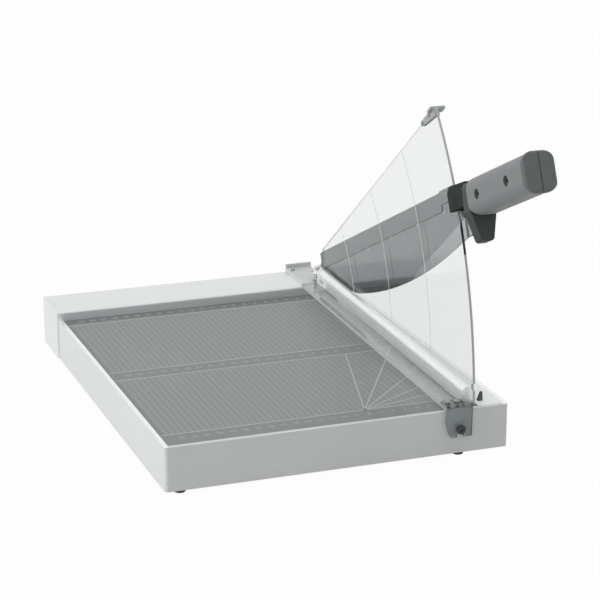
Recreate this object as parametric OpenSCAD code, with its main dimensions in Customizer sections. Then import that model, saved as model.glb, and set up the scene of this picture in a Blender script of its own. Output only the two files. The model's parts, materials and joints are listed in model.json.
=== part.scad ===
// A4 guillotine paper cutter: a flat base with a printed mat, a backstop bar along the rear,
// a clear clamp with a finger guard, and a blade arm hinged at the rear right corner.
// Millimetres. X runs right along the front, Y runs to the back, Z is up.
// The origin is the centre of the front left foot's contact face.
// The arm's own frame starts at the pivot: "a" runs along the arm, "p" square to it, upward.
// The clamp is drawn pressed flat and then lifted about the front wall's top edge.

/* [Base] */
// Width of the base over its side walls
base_w = 278; // [260:1:340]
// Depth of the table, from the front wall's face to the backstop bar
table_d = 326; // [300:1:360]
// Height of the walls
wall_h = 35; // [32:0.5:42]
// Thickness of the walls
wall_t = 4; // [3:0.5:5]
// Radius of the base's upright corners
corner_r = 3; // [1:0.5:4]
// Thickness of the floor sheet
floor_t = 1.5; // [1:0.25:2.5]
// Diameter of a foot
foot_d = 9; // [8:1:16]
// Height of a foot
foot_h = 4.5; // [3:0.5:8]
// Distance from the left side to the left feet
foot_left = 14; // [10:1:24]
// Distance from the right side to the right feet
foot_right = 38; // [34:1:60]
// Distance from the front and from the back to the feet
foot_in = 10; // [8:1:16]

/* [Table] */
// Depth of the mat's surface below the wall tops
mat_drop = 0.6; // [0.3:0.1:1.5]
// Thickness of the cutting mat
mat_t = 2; // [1:0.25:3]
// Thickness of the board under the mat
board_t = 10; // [6:0.5:12]
// Width of the ledge that carries the board
ledge_w = 6; // [4:0.5:8]
// Thickness of that ledge
ledge_t = 3; // [2:0.5:4]

/* [Cutting line] */
// Distance from the right side to the cut
cut_from_right = 28; // [26:0.5:40]
// Width of the slot that the blade drops into
slot_w = 4.5; // [4.4:0.1:6]
// Thickness of the fixed lower knife
knife_t = 2.3; // [1.5:0.1:3]
// Height of the fixed lower knife
knife_h = 16; // [12:0.5:20]
// Number of screws in the lower knife
knife_screws = 5; // [3:1:8]
// Width of the hollow rail behind the lower knife
rail_w = 9; // [7:0.5:12]
// Wall of that rail
rail_wall = 2; // [1.5:0.25:2.5]
// Thickness of the right deck's sheet
deck_t = 2; // [1.5:0.25:3]
// Length of the open well round the pivot, in front of the pivot
well_l = 75; // [65:1:90]
// Width of that well
well_w = 12; // [10:0.5:14]

/* [Backstop bar] */
// Depth of the bar from front to back
bar_d = 51.5; // [46:0.5:60]
// Height of the bar above the wall tops
bar_rise = 7.7; // [6:0.1:9]
// Wall of the hollow bar
bar_wall = 2.4; // [1.6:0.2:3]
// Overhang of the bar past the base's left side
bar_over = 1.3; // [0.5:0.1:3]
// Thickness of the cap on the bar's left end
cap_t = 2; // [1:0.25:3]
// Thickness of the cover plate over the pivot
cover_t = 2.3; // [1.5:0.1:2.6]
// Width of that cover plate
cover_w = 18.5; // [17:0.5:24]
// Reach of its rear corner past the bar's right end
cover_over = 6; // [3:0.5:7]

/* [Pivot] */
// Depth of the pivot's axis below the wall tops
pivot_drop = 13.6; // [12:0.1:16]
// Diameter of the pivot bolt
bolt_d = 10; // [8:0.5:12]
// Radius of the arm's eye
eye_r = 15; // [13:0.5:16]
// Wall of the bush in the eye
bush_wall = 1.5; // [1:0.25:2]
// Radial running clearance in the bush
run_gap = 0.05; // [0.02:0.01:0.1]
// Length of the pivot block inside the bar
block_l = 24; // [22:0.5:34]
// Width of the pivot nut across its flats
nut_w = 17; // [14:0.5:18]

/* [Arm] */
// Angle of the arm above level in the rest position
arm_angle = 24.3; // [22:0.1:25]
// Thickness of the arm's lever
lever_t = 5; // [4:0.25:5.5]
// Height of the arm's back above the pivot line
arm_top = 37.8; // [37:0.1:40]
// Height of the channel that covers the arm's back
spine_h = 15; // [12:0.5:17]
// Sheet of that channel
spine_t = 1.6; // [1.2:0.1:2]
// Thin lip of the channel beside the blade
lip_t = 0.8; // [0.5:0.1:0.9]
// Thickness of the blade
blade_t = 2.2; // [1.5:0.1:2.6]
// Gap between the blade and the cut
blade_gap = 0.1; // [0.05:0.05:0.2]
// Length of the blade past the front wall's face
blade_over = 19; // [15:0.5:24]
// Radius of the blade's long cutting edge
edge_r = 700; // [550:10:900]
// Depth of the cutting edge below the pivot line
edge_drop = 19.6; // [18:0.1:20]
// Distance from the blade's tip to the deepest point of its edge
belly_from_tip = 153; // [140:1:165]
// Radius of the blade's heel
heel_r = 150; // [120:5:170]
// Width of the bevel on the blade's right face
bevel_w = 8; // [4:0.5:12]
// Number of screws that hold the blade
blade_screws_n = 5; // [3:1:7]

/* [Handle] */
// Thickness of the hand guard
shield_t = 11.8; // [8:0.2:14]
// Length of the grip
grip_l = 98; // [85:1:120]
// Width of the grip
grip_w = 25; // [22:0.5:30]
// Height of the grip
grip_h = 29.6; // [26:0.2:34]
// Rounding of the grip's section
grip_round = 9.5; // [6:0.5:11]
// Dip of the grip's axis below the arm's line
grip_dip = 0.7; // [0:0.1:2]
// Step of the end cap above the grip
endcap_step = 0.5; // [0.2:0.1:1.5]
// Length of the grip's end cap
endcap_l = 3.5; // [3:0.5:8]
// Rounding of the end cap's rim
endcap_r = 2.5; // [1:0.5:2.5]

/* [Clamp and guard] */
// Lift of the clamp's rear end, as an angle
clamp_lift = 1.35; // [0.8:0.05:1.5]
// Width of the clear clamp strip
strip_w = 21; // [18:0.5:26]
// Thickness of the clear clamp strip
strip_t = 2.8; // [2:0.1:3.5]
// Width of the polished beam
beam_w = 6; // [5:0.25:7]
// Height of the polished beam
beam_h = 13; // [12:0.25:16]
// Rounding of the beam's top left edge
beam_round = 4.75; // [1:0.25:5.5]
// Thickness of the clear guard
guard_t = 2; // [1.5:0.1:2.2]
// Gap between the guard and the cut
guard_gap = 1.4; // [1.3:0.1:2]
// Angle of the guard's straight upper edge above level, pressed flat
guard_angle = 37.65; // [36.5:0.1:39]
// Distance of that edge above the guard's centre
guard_edge = 26.4; // [24:0.2:28]
// Radius of the hook notch in the guard's rim
hook_r = 3; // [2:0.25:4]
// Thickness of the tinted front lug
lug_t = 2.7; // [2:0.1:3]
// Drop of the front lug below the wall tops
lug_drop = 21; // [18:0.5:24]
// Wire of the lift spring
spring_wire = 0.8; // [0.6:0.1:0.9]
// Number of turns in the lift spring
spring_turns = 12; // [8:1:16]

/* [Hidden] */
$fn = 64;

// Small clearances: a fitted edge, a slip fit, and the reach of a cutting tool past a face
fit = 0.2;
slip = 0.1;
past = 1;

// Screws: shank, width and height of the head
m2_d = 2;
m2_head = 3.8;
m2_head_h = 1.2;
m25_d = 2.5;
m25_head = 4.5;
m3_d = 3;
m3_head = 6;
m3_head_h = 2;
m4_d = 4;
m4_head = 7;
m4_head_h = 2.4;

// Places on the base
left = -foot_left;
front = -foot_in;
right = left + base_w;
bar_y = front + table_d;
back = bar_y + bar_d;
floor_z = foot_h;
floor_top = floor_z + floor_t;
wall_top = floor_z + wall_h;
bar_top = wall_top + bar_rise;
cover_top = bar_top + cover_t;
cut_x = right - cut_from_right;
inner_l = left + wall_t;
inner_r = right - wall_t;
inner_f = front + wall_t;
inner_b = back - wall_t;
foot_xs = [0, right - foot_right];
foot_ys = [0, back - foot_in];

// Table
mat_z = wall_top - mat_drop;
mat_base = mat_z - mat_t;
board_base = mat_base - board_t;
knife_x = cut_x - knife_t;
rail_x = knife_x - rail_w;
boss_d = 8;
post_in = 9;
stem_d = 5;
stem_l = bar_wall - slip;
post_hole_l = 12;

// Bar and pivot
bar_x0 = left - bar_over + cap_t;
bar_x1 = cut_x - 1.5;
bar_round = 2;
bar_inner_r = 0.6;
plug_l = 6;
plug_wall = 2.5;
pivot_y = bar_y + bar_d / 2;
pivot_z = wall_top - pivot_drop;
boss_x = cut_x + 1.2;
washer_t = 1;
block_y0 = bar_y + bar_wall + slip;
block_y1 = back - bar_wall - slip;
block_z0 = floor_z + bar_wall + slip;
block_z1 = bar_top - bar_wall - slip;
boss_r = 11;
head_t = 6;
block_screw_rise = 9.5;
block_screw_in = 5;
outer_washer_t = 1.5;
disc_t = 0.9;
disc_dish = 0.6;
nut_t = 8;

// Arm, in distances from the pivot
blade_x = cut_x + blade_gap;
lever_x = blade_x + blade_t;
lever_x1 = lever_x + lever_t;
reach = pivot_y - front;
tip_a = reach + blade_over;
belly_a = tip_a - belly_from_tip;
blade_top = arm_top - 4.3;
heel_a = belly_a - 93;
lever_top = arm_top - 2;
lever_end = reach - 6.8;
heel_p = 12;
spine_a0 = 31;
spine_a1 = reach - 30;
neck_a1 = reach - 2;
block_a0 = reach - 1.6;
block_a1 = reach + 33.2;
tang_p0 = 11;
tang_p1 = 30;
stop_y = front + 15;
stop_a = reach - 15;
foot_p0 = -0.9;
foot_p1 = 9.3;
lug_foot_x = cut_x + 13;
shield_a = block_a1 + slip;
grip_a = shield_a + shield_t + slip;
grip_p = 20.45;
tang_end = grip_a + grip_l - 18;
grip_screw_g = [17.5, 70];
split_x = cut_x + 0.4;
arm_shut = 3.7;

// Clamp and guard, pressed flat
hinge_y = front + 1;
hinge_z = wall_top;
strip_z = wall_top + 0.2;
strip_top = strip_z + strip_t;
guard_x = cut_x - guard_gap - guard_t;
beam_x = guard_x - beam_w;
beam_y0 = front + 6;
clamp_y1 = bar_y - 1.5;
beam_top = strip_top + beam_h;
lug_gap = 0.8;
lug_y1 = front - lug_gap;
lug_y0 = lug_y1 - lug_t;
lug_x0 = guard_x - strip_w - 1.6;
lug_x1 = cut_x - 4;
lug_screw_x = cut_x - 13.9;
lug_screw_z = wall_top - 14.5;
lug_boss_l = 8;
shoulder_d = 5;
lug_head = 7.5;
lug_slot = 5.6;
tongue_z = cover_top + 0.3;
tongue_top = beam_top - 3;
guide_x = beam_x + 2.4;
pocket_d = 6.2;
guide_y = bar_y + bar_wall + pocket_d / 2 + 0.8;
tongue_y1 = guide_y + 3.2;
pocket_z = block_z1 - 22;
guide_bite = 7;
guard_cy = pivot_y - 7.7;
guard_cz = pivot_z;
guard_r = reach - 5.8;
corner_e = sqrt(guard_r * guard_r - guard_edge * guard_edge);
guard_y1 = bar_y + 1;
rivet_d = 3;

// Where a point of the clamp lies once it is lifted, as [y, z]
function lifted(y, z) = [
    hinge_y + (y - hinge_y) * cos(clamp_lift) - (z - hinge_z) * sin(clamp_lift),
    hinge_z + (y - hinge_y) * sin(clamp_lift) + (z - hinge_z) * cos(clamp_lift)
];

// Point on a circle of radius r where a line from q touches it, on the side s
function touch(q, r, s) =
    let (t = atan2(q[1], q[0]) + s * acos(r / norm(q)))
    [r * cos(t), r * sin(t)];

// Even places of n things from u to v
function spread(n, u, v) = [for (i = [0 : n - 1]) u + (v - u) * i / (n - 1)];

// Rectangle with round corners, from its lower left corner
module round_rect(w, d, r) {
    translate([r, 0]) square([w - 2 * r, d]);
    translate([0, r]) square([w, d - 2 * r]);
    for (x = [r, w - r], y = [r, d - r]) translate([x, y]) circle(r);
}

// Plate of an outline in (y, z), from x0 to x0 + t
module side_plate(x0, t) {
    translate([x0, 0, 0]) rotate([90, 0, 90]) linear_extrude(t) children();
}

// Bar of an outline in (x, z), from y0 to y1
module front_plate(y0, y1) {
    translate([0, y1, 0]) rotate([90, 0, 0]) linear_extrude(y1 - y0) children();
}

// Plate of an outline in (a, p), from x0 to x0 + t
module arm_plate(x0, t) {
    translate([x0 + t, 0, 0]) rotate([90, 0, -90]) linear_extrude(t) children();
}

// Block of an outline in (x, p), from a0 to a1 along the arm
module arm_block(a0, a1) {
    translate([0, -a0, 0]) rotate([90, 0, 0]) linear_extrude(a1 - a0) children();
}

// Rod along X at (y, z)
module rod_x(x0, x1, y, z, d) {
    translate([x0, y, z]) rotate([0, 90, 0]) cylinder(d = d, h = x1 - x0);
}

// Rod along Y at (x, z)
module rod_y(y0, y1, x, z, d) {
    translate([x, y1, z]) rotate([90, 0, 0]) cylinder(d = d, h = y1 - y0);
}

// Screw that points down from its seat: head above, shank below, hexagon socket
module screw_down(d, l, head_d, head_h) {
    difference() {
        union() {
            translate([0, 0, -l]) cylinder(d = d, h = l);
            cylinder(d = head_d, h = head_h);
        }
        translate([0, 0, head_h * 0.4]) cylinder(d = head_d * 0.45, h = head_h, $fn = 6);
    }
}

// Countersunk screw that points down, its head flush with the seat
module flush_screw(d, l, head_d) {
    head_h = (head_d - d) / 2;
    difference() {
        union() {
            translate([0, 0, -l]) cylinder(d = d, h = l);
            translate([0, 0, -head_h]) cylinder(d1 = d, d2 = head_d, h = head_h);
        }
        translate([0, 0, -head_h * 0.5]) cylinder(d = head_d * 0.4, h = head_h, $fn = 6);
    }
}

// The hole that such a screw needs
module flush_hole(d, l, head_d) {
    head_h = (head_d - d) / 2;
    translate([0, 0, -l]) cylinder(d = d, h = l + past);
    translate([0, 0, -head_h]) cylinder(d1 = d, d2 = head_d, h = head_h);
}

module at_arm() {
    translate([0, pivot_y, pivot_z]) rotate([-arm_angle, 0, 0]) children();
}

module at_clamp() {
    translate([0, hinge_y, hinge_z]) rotate([clamp_lift, 0, 0])
        translate([0, -hinge_y, -hinge_z]) children();
}

// Base: walls with a ledge for the board, posts for the screws and a boss for the lug's screw
post_xy = [
    [inner_l + post_in, bar_y - post_in],
    [(inner_l + rail_x) / 2, inner_f + post_in],
    [inner_l + post_in, (inner_f + bar_y) / 2]
];

module base_frame() color("#c9cccc") difference() {
    union() {
        translate([0, 0, floor_z]) linear_extrude(wall_h) difference() {
            translate([left, front]) round_rect(base_w, table_d + bar_d, corner_r);
            translate([inner_l, inner_f]) square([inner_r - inner_l, inner_b - inner_f]);
            translate([left - past, bar_y]) square([bar_x1 + fit - left + past, bar_d + past]);
        }
        translate([inner_l, inner_f, board_base - ledge_t])
            cube([ledge_w, bar_y - inner_f, ledge_t]);
        translate([inner_l, inner_f, board_base - ledge_t])
            cube([rail_x - inner_l, ledge_w, ledge_t]);
        for (q = post_xy) translate([q[0], q[1], floor_top])
            cylinder(d = boss_d, h = board_base - floor_top);
        for (x = foot_xs) translate([x, 0, floor_top])
            cylinder(d = boss_d, h = board_base - floor_top);
        translate([lug_screw_x, inner_f + lug_boss_l, lug_screw_z])
            rotate([90, 0, 0]) cylinder(d = boss_d, h = lug_boss_l);
    }
    rod_y(front - past, inner_f + lug_boss_l + past, lug_screw_x, lug_screw_z, m4_d);
    for (q = post_xy) translate([q[0], q[1], floor_z]) cylinder(d = m3_d, h = post_hole_l);
    for (x = foot_xs) translate([x, 0, floor_z]) cylinder(d = stem_d, h = stem_l);
}

module base_floor() color("#9a9e9f") difference() {
    union() {
        translate([inner_l + fit, inner_f + fit, floor_z])
            cube([inner_r - inner_l - 2 * fit, bar_y - inner_f - 2 * fit, floor_t]);
        translate([bar_x1 + 2 * fit, inner_f + fit, floor_z])
            cube([inner_r - bar_x1 - 3 * fit, inner_b - inner_f - 2 * fit, floor_t]);
    }
    for (q = post_xy) translate([q[0], q[1], floor_z - past])
        cylinder(d = m3_d, h = floor_t + 2 * past);
    for (x = foot_xs) translate([x, 0, floor_z - past]) cylinder(d = stem_d, h = floor_t + 2 * past);
}

module floor_screws() color("#8a8d8e") for (q = post_xy)
    translate([q[0], q[1], floor_z]) mirror([0, 0, 1])
        screw_down(m3_d, post_hole_l - past, m3_head, m3_head_h);

// Round rubber feet, each pressed in by its stem
module feet() color("#3c4040") for (x = foot_xs, y = foot_ys) translate([x, y, 0]) {
    cylinder(d = foot_d, h = foot_h);
    cylinder(d = stem_d, h = foot_h + stem_l);
}

// Board, notched underneath over the boss of the lug's screw
module table_board() color("#b9bcbc") difference() {
    translate([inner_l + fit, inner_f + fit, board_base])
        cube([rail_x - inner_l - 2 * fit, bar_y - inner_f - 2 * fit, board_t]);
    translate([lug_screw_x - boss_d / 2 - fit, inner_f, board_base - past])
        cube([boss_d + 2 * fit, lug_boss_l + fit, lug_screw_z + boss_d / 2 + fit + past - board_base]);
}

module cutting_mat() color("#8f9494")
    translate([inner_l + fit, inner_f + fit, mat_base])
        cube([knife_x - inner_l - 2 * fit, bar_y - inner_f - 2 * fit, mat_t]);

// Hollow rail under the cut, from behind the bosses to the bar
rail_y0 = max(inner_f + lug_boss_l, boss_d / 2) + fit;
knife_ys = spread(knife_screws, rail_y0 + 20, bar_y - 20);
knife_screw_z = mat_z - knife_h / 2;

module cut_rail() color("#b4b8b9") difference() {
    front_plate(rail_y0, bar_y - fit) difference() {
        translate([rail_x, floor_top]) square([rail_w, mat_base - floor_top]);
        translate([rail_x + rail_wall, floor_top + rail_wall])
            square([rail_w - 2 * rail_wall, mat_base - floor_top - 2 * rail_wall]);
    }
    for (y = knife_ys) rod_x(knife_x - rail_w / 2, knife_x + past, y, knife_screw_z, m4_d);
}

module lower_knife() color("#a9aeb0") difference() {
    translate([knife_x, inner_f + fit, mat_z - knife_h])
        cube([knife_t, bar_y - inner_f - 2 * fit, knife_h]);
    for (y = knife_ys) translate([cut_x, y, knife_screw_z]) rotate([0, 90, 0])
        flush_hole(m4_d, knife_t + past, m4_head);
}

module knife_screw_set() color("#7d8182") for (y = knife_ys)
    translate([cut_x, y, knife_screw_z]) rotate([0, 90, 0])
        flush_screw(m4_d, knife_t + rail_wall + past, m4_head);

// Right deck: a folded cover beside the slot, with a well round the pivot
deck_x0 = cut_x + slot_w;
deck_x1 = inner_r - fit;
deck_y0 = inner_f + fit;
well_y = pivot_y - well_l;
well_x = cut_x + well_w;
stop_x = cut_x + 8;
stop_w = 4.2;
stop_l = 3;
stud_x = stop_x + stop_w / 2;
stud_d = 2.4;

module right_deck() color("#dcdedd") difference() {
    union() {
        translate([deck_x0, deck_y0, wall_top - deck_t])
            cube([deck_x1 - deck_x0, inner_b - fit - deck_y0, deck_t]);
        translate([deck_x0, deck_y0, floor_top])
            cube([deck_t, well_y - deck_y0, wall_h - floor_t]);
        translate([deck_x1 - deck_t, deck_y0, floor_top])
            cube([deck_t, inner_b - fit - deck_y0, wall_h - floor_t]);
        translate([deck_x0, well_y - deck_t, floor_top])
            cube([deck_x1 - deck_x0, deck_t, wall_h - floor_t]);
    }
    translate([deck_x0 - past, well_y, floor_top - past])
        cube([well_x - deck_x0 + past, back, wall_h + 2 * past]);
    translate([stud_x, stop_y, wall_top - deck_t - past])
        cylinder(d = stud_d, h = deck_t + 2 * past);
}

// Rubber stop that the lever's foot lands on, sloped towards the blade
stop_top = pivot_z + stop_a * sin(arm_shut) + foot_p0 * cos(arm_shut) - fit;

module blade_stop() color("#3a3e3e") {
    front_plate(stop_y - stop_l / 2, stop_y + stop_l / 2) polygon([
        [stop_x, wall_top],
        [stop_x + stop_w, wall_top],
        [stop_x + stop_w - 0.2, stop_top],
        [stop_x + stop_w - 1.4, stop_top],
        [stop_x + stop_w - 2, stop_top - 1]
    ]);
    translate([stud_x, stop_y, wall_top - deck_t]) cylinder(d = stud_d, h = deck_t + past);
}

// Backstop bar: hollow section with round edges
module bar_section(grow) {
    translate([bar_y - grow, floor_z - grow]) round_rect(bar_d + 2 * grow,
        bar_top - floor_z + 2 * grow, max(bar_round + grow, bar_inner_r));
}

cover_screw_xy = [[cut_x - 17, back - 6]];
block_screw_x = bar_x1 - block_l + block_screw_in;
block_screw_zs = [pivot_z - block_screw_rise, pivot_z + block_screw_rise];

module backstop_bar() color("#e4e6e6") difference() {
    side_plate(bar_x0, bar_x1 - bar_x0) difference() {
        bar_section(0);
        bar_section(-bar_wall);
    }
    translate([guide_x, guide_y, bar_top - bar_wall - past])
        cylinder(d = pocket_d, h = bar_wall + 2 * past);
    for (q = cover_screw_xy) translate([q[0], q[1], bar_top - bar_wall - past])
        cylinder(d = m3_d, h = bar_wall + 2 * past);
    for (z = block_screw_zs) rod_y(back - bar_wall - past, back + past, block_screw_x, z, m4_d);
    for (x = foot_xs) translate([x, foot_ys[1], floor_z - past])
        cylinder(d = stem_d, h = bar_wall + 2 * past);
}

// Cap with a hollow plug in the bar's left end
module bar_cap() color("#d2d4d4") {
    side_plate(bar_x0 - cap_t, cap_t) bar_section(0);
    side_plate(bar_x0, plug_l) difference() {
        bar_section(-bar_wall - slip);
        bar_section(-bar_wall - plug_wall);
    }
}

// Pivot block: fills the bar's right end, carries the bolt and the lift spring's pocket
cover_bite = 5;
block_bite = 7;

module pivot_block() color("#8d9192") difference() {
    union() {
        translate([bar_x1 - block_l, block_y0, block_z0])
            cube([block_l, block_y1 - block_y0, block_z1 - block_z0]);
        rod_x(bar_x1 - past, boss_x, pivot_y, pivot_z, 2 * boss_r);
    }
    rod_x(bar_x1 - block_l - past, boss_x + past, pivot_y, pivot_z, bolt_d);
    translate([guide_x, guide_y, pocket_z]) cylinder(d = pocket_d, h = block_z1);
    translate([guide_x, guide_y, pocket_z - guide_bite - past])
        cylinder(d = m25_d, h = guide_bite + 2 * past);
    for (q = cover_screw_xy) translate([q[0], q[1], block_z1 - cover_bite - past])
        cylinder(d = m3_d, h = cover_bite + 2 * past);
    for (z = block_screw_zs)
        rod_y(block_y1 - block_bite - past, block_y1 + past, block_screw_x, z, m4_d);
}

module block_screws() color("#8a8d8e") for (z = block_screw_zs)
    translate([block_screw_x, back, z]) rotate([-90, 0, 0])
        screw_down(m4_d, bar_wall + slip + block_bite, m4_head, m4_head_h);

// Cover plate on the bar's right end, with a lip behind; its rear corner reaches over the pivot
lip_over = 1;
lip_drop = 8;
lip_rise = 4;
cover_x0 = bar_x1 - cover_w;
cover_x1 = bar_x1 + cover_over;
cover_step_y = pivot_y + 10;

module pivot_cover() color("#b0b3b3") difference() {
    union() {
        translate([0, 0, bar_top]) linear_extrude(cover_t) polygon([
            [cover_x0, bar_y - lip_over],
            [bar_x1, bar_y - lip_over],
            [bar_x1, cover_step_y],
            [cover_x1, cover_step_y + cover_over],
            [cover_x1, back + cover_t],
            [cover_x0, back + cover_t]
        ]);
        translate([cover_x0, back, bar_top - lip_drop])
            cube([cover_x1 - cover_x0, cover_t, lip_drop + cover_t + lip_rise]);
    }
    translate([guide_x, guide_y, bar_top - past]) cylinder(d = pocket_d, h = cover_t + 2 * past);
    for (q = cover_screw_xy) translate([q[0], q[1], bar_top - past])
        cylinder(d = m3_d, h = cover_t + 2 * past);
}

module cover_screw() color("#a8abac") for (q = cover_screw_xy)
    translate([q[0], q[1], cover_top])
        screw_down(m3_d, cover_t + bar_wall + slip + cover_bite, m3_head, m3_head_h);

// Pivot: a bolt from inside the bar through the block, the eye, washers and disc springs
stack_x = lever_x1 + slip;
disc_x = stack_x + outer_washer_t;
disc_h = disc_t + disc_dish;
nut_x = disc_x + 2 * disc_h;

module pivot_bolt() color("#9a9fa0") {
    rod_x(bar_x1 - block_l, nut_x + nut_t + 1, pivot_y, pivot_z, bolt_d);
    translate([bar_x1 - block_l - head_t, pivot_y, pivot_z]) rotate([0, 90, 0])
        cylinder(r = nut_w / sqrt(3), h = head_t, $fn = 6);
}

module ring_x(x0, t, outer, inner) {
    difference() {
        rod_x(x0, x0 + t, pivot_y, pivot_z, outer);
        rod_x(x0 - past, x0 + t + past, pivot_y, pivot_z, inner);
    }
}

module thrust_washer() color("#c6a15a")
    ring_x(boss_x, washer_t, 2 * boss_r - 2, bolt_d + 0.2);

module outer_washer() color("#b9bdbe")
    ring_x(stack_x, outer_washer_t, 2 * boss_r - 1, bolt_d + 0.2);

// Two dished rings, rim to rim
module disc_ring() {
    rotate_extrude() polygon([
        [bolt_d / 2 + 0.2, disc_dish],
        [boss_r - 1.5, 0],
        [boss_r - 1.5, disc_t],
        [bolt_d / 2 + 0.2, disc_dish + disc_t]
    ]);
}

module disc_springs() color("#7c8182") translate([disc_x, pivot_y, pivot_z]) rotate([0, 90, 0]) {
    disc_ring();
    translate([0, 0, 2 * disc_h]) mirror([0, 0, 1]) disc_ring();
}

module pivot_nut() color("#b9bdbe") difference() {
    translate([nut_x, pivot_y, pivot_z]) rotate([0, 90, 0])
        cylinder(r = nut_w / sqrt(3), h = nut_t, $fn = 6);
    rod_x(nut_x - past, nut_x + nut_t + past, pivot_y, pivot_z, bolt_d);
}

// Shoulder screw in the front wall that the lug slides on
module lug_screw() color("#2f3333") {
    rod_y(lug_y0 - 0.3, front, lug_screw_x, lug_screw_z, shoulder_d);
    rod_y(front, inner_f + lug_boss_l - past, lug_screw_x, lug_screw_z, m4_d);
    difference() {
        rod_y(lug_y0 - 1.8, lug_y0 - 0.3, lug_screw_x, lug_screw_z, lug_head);
        translate([lug_screw_x, lug_y0 - 0.9, lug_screw_z]) rotate([90, 0, 0])
            cylinder(d = 3.4, h = 3, $fn = 6);
    }
}

// Guide screw behind the beam, whose head holds the lifted clamp down
head_z = lifted(guide_y, tongue_top)[1] + 0.4;

module guide_screw() color("#4b4f50") translate([guide_x, guide_y, head_z])
    screw_down(m25_d, head_z - pocket_z + guide_bite, m25_head, m3_head_h);

// Lift spring: one wire, its ends square to the seat and to the beam's end
spring_r = 2.15;
spring_z0 = pocket_z + 0.02;
spring_z1 = lifted(guide_y - spring_r, tongue_z)[1] - 0.1;
spring_rings = 8;
spring_sides = 6;
spring_rise = spring_z1 - spring_z0 - 2 * spring_wire;
coil_path = concat(
    [[spring_r, 0, spring_z0]],
    [for (i = [0 : spring_turns * spring_rings])
        let (t = 360 * i / spring_rings)
        [spring_r * cos(t), spring_r * sin(t),
            spring_z0 + spring_wire + spring_rise * i / (spring_turns * spring_rings)]],
    [[spring_r, 0, spring_z1]]
);
coil_n = len(coil_path);

function coil_dir(i) =
    let (u = coil_path[min(i + 1, coil_n - 1)] - coil_path[max(i - 1, 0)])
    (i == 0 || i == coil_n - 1) ? [0, 0, 1] : u / norm(u);

function coil_ring(i) =
    let (q = coil_path[i], d = coil_dir(i), n = [q[0], q[1], 0] / spring_r, b = cross(d, n))
    [for (k = [0 : spring_sides - 1])
        let (w = 360 * k / spring_sides)
        q + spring_wire / 2 * (cos(w) * n + sin(w) * b)];

spring_gap = min([for (i = [1 : coil_n - 2 - spring_rings])
    norm(coil_path[i + spring_rings] - coil_path[i])]) - spring_wire;
echo("least gap between the turns of the lift spring", spring_gap);

module lift_spring() {
    s = spring_sides;
    pts = [for (i = [0 : coil_n - 1]) each coil_ring(i)];
    walls = [for (i = [0 : coil_n - 2], k = [0 : s - 1])
        let (u = i * s + k, v = i * s + (k + 1) % s)
        each [[u, u + s, v], [v, u + s, v + s]]];
    lids = [for (k = [1 : s - 2]) each [
        [0, k, k + 1],
        [(coil_n - 1) * s, (coil_n - 1) * s + k + 1, (coil_n - 1) * s + k]
    ]];
    color("#b7bbbc") translate([guide_x, guide_y, 0]) polyhedron(pts, concat(walls, lids));
}

// Lever: eye, tapered bar behind the blade, tang into the grip, and a foot for the stop
lever_low = 2;
blade_screw_ap = [for (a = spread(blade_screws_n, 95, lever_end - 22)) [a, 22]];
head_screw_ap = [[block_a0 + 27, 24]];
tip_screw_ap = [reach + 9.7, 14.4];
function grip_ap(g) = [
    grip_a + g * cos(grip_dip),
    grip_p - g * sin(grip_dip)
];

module lever() color("#8b9091") at_arm() difference() {
    union() {
        arm_plate(lever_x, lever_t) {
            circle(eye_r);
            polygon([
                [0, 0],
                touch([spine_a0, lever_top], eye_r, 1),
                [spine_a0, lever_top],
                [lever_end, lever_top],
                [lever_end, lever_low],
                [60, heel_p],
                touch([60, heel_p], eye_r, -1)
            ]);
            translate([lever_end - past, tang_p0])
                square([tang_end - lever_end + past, tang_p1 - tang_p0]);
        }
        translate([lever_x1 - past, -stop_a - 5, foot_p0])
            cube([lug_foot_x - lever_x1 + past, 10, foot_p1 - foot_p0]);
    }
    rod_x(lever_x - past, lever_x1 + past, 0, 0, bolt_d + 2 * (run_gap + bush_wall));
    for (q = blade_screw_ap) rod_x(lever_x - past, lever_x1 + past, -q[0], q[1], m4_d);
    for (q = head_screw_ap) rod_x(lever_x - past, lever_x1 + past, -q[0], q[1], m4_d);
    rod_x(lever_x - past, lever_x1 + past, -tip_screw_ap[0], tip_screw_ap[1], m3_d);
    for (g = grip_screw_g)
        rod_x(lever_x - past, lever_x1 + past, -grip_ap(g)[0], grip_ap(g)[1], m4_d + 0.4);
}

module pivot_bush() color("#b08d4c") at_arm() difference() {
    rod_x(lever_x, lever_x1, 0, 0, bolt_d + 2 * (run_gap + bush_wall));
    rod_x(lever_x - past, lever_x1 + past, 0, 0, bolt_d + 2 * run_gap);
}

// Blade: long convex edge with a tighter heel, ground on its right face
edge_c = [belly_a, edge_r - edge_drop];
heel_turn = asin((belly_a - heel_a) / edge_r);
heel_c = edge_c + (edge_r - heel_r) * [-sin(heel_turn), -cos(heel_turn)];

module blade_outline() {
    difference() {
        intersection() {
            translate(edge_c) circle(edge_r, $fn = 360);
            translate([0, -edge_drop - past]) square([tip_a, blade_top + edge_drop + past]);
        }
        difference() {
            translate([-past, -edge_drop - 2 * past])
                square([heel_a + past, blade_top + edge_drop + 3 * past]);
            translate(heel_c) circle(heel_r, $fn = 180);
        }
    }
}

module blade() color("#8f9595") at_arm() difference() {
    intersection() {
        arm_plate(blade_x, blade_t) blade_outline();
        translate([blade_x, -edge_c[0], edge_c[1]]) rotate([0, 90, 0])
            cylinder(r1 = edge_r, r2 = edge_r - bevel_w, h = blade_t, $fn = 360);
    }
    for (q = blade_screw_ap) rod_x(blade_x - past, lever_x + past, -q[0], q[1], m4_d);
    rod_x(blade_x - past, lever_x + past, -tip_screw_ap[0], tip_screw_ap[1], m3_d);
}

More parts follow.
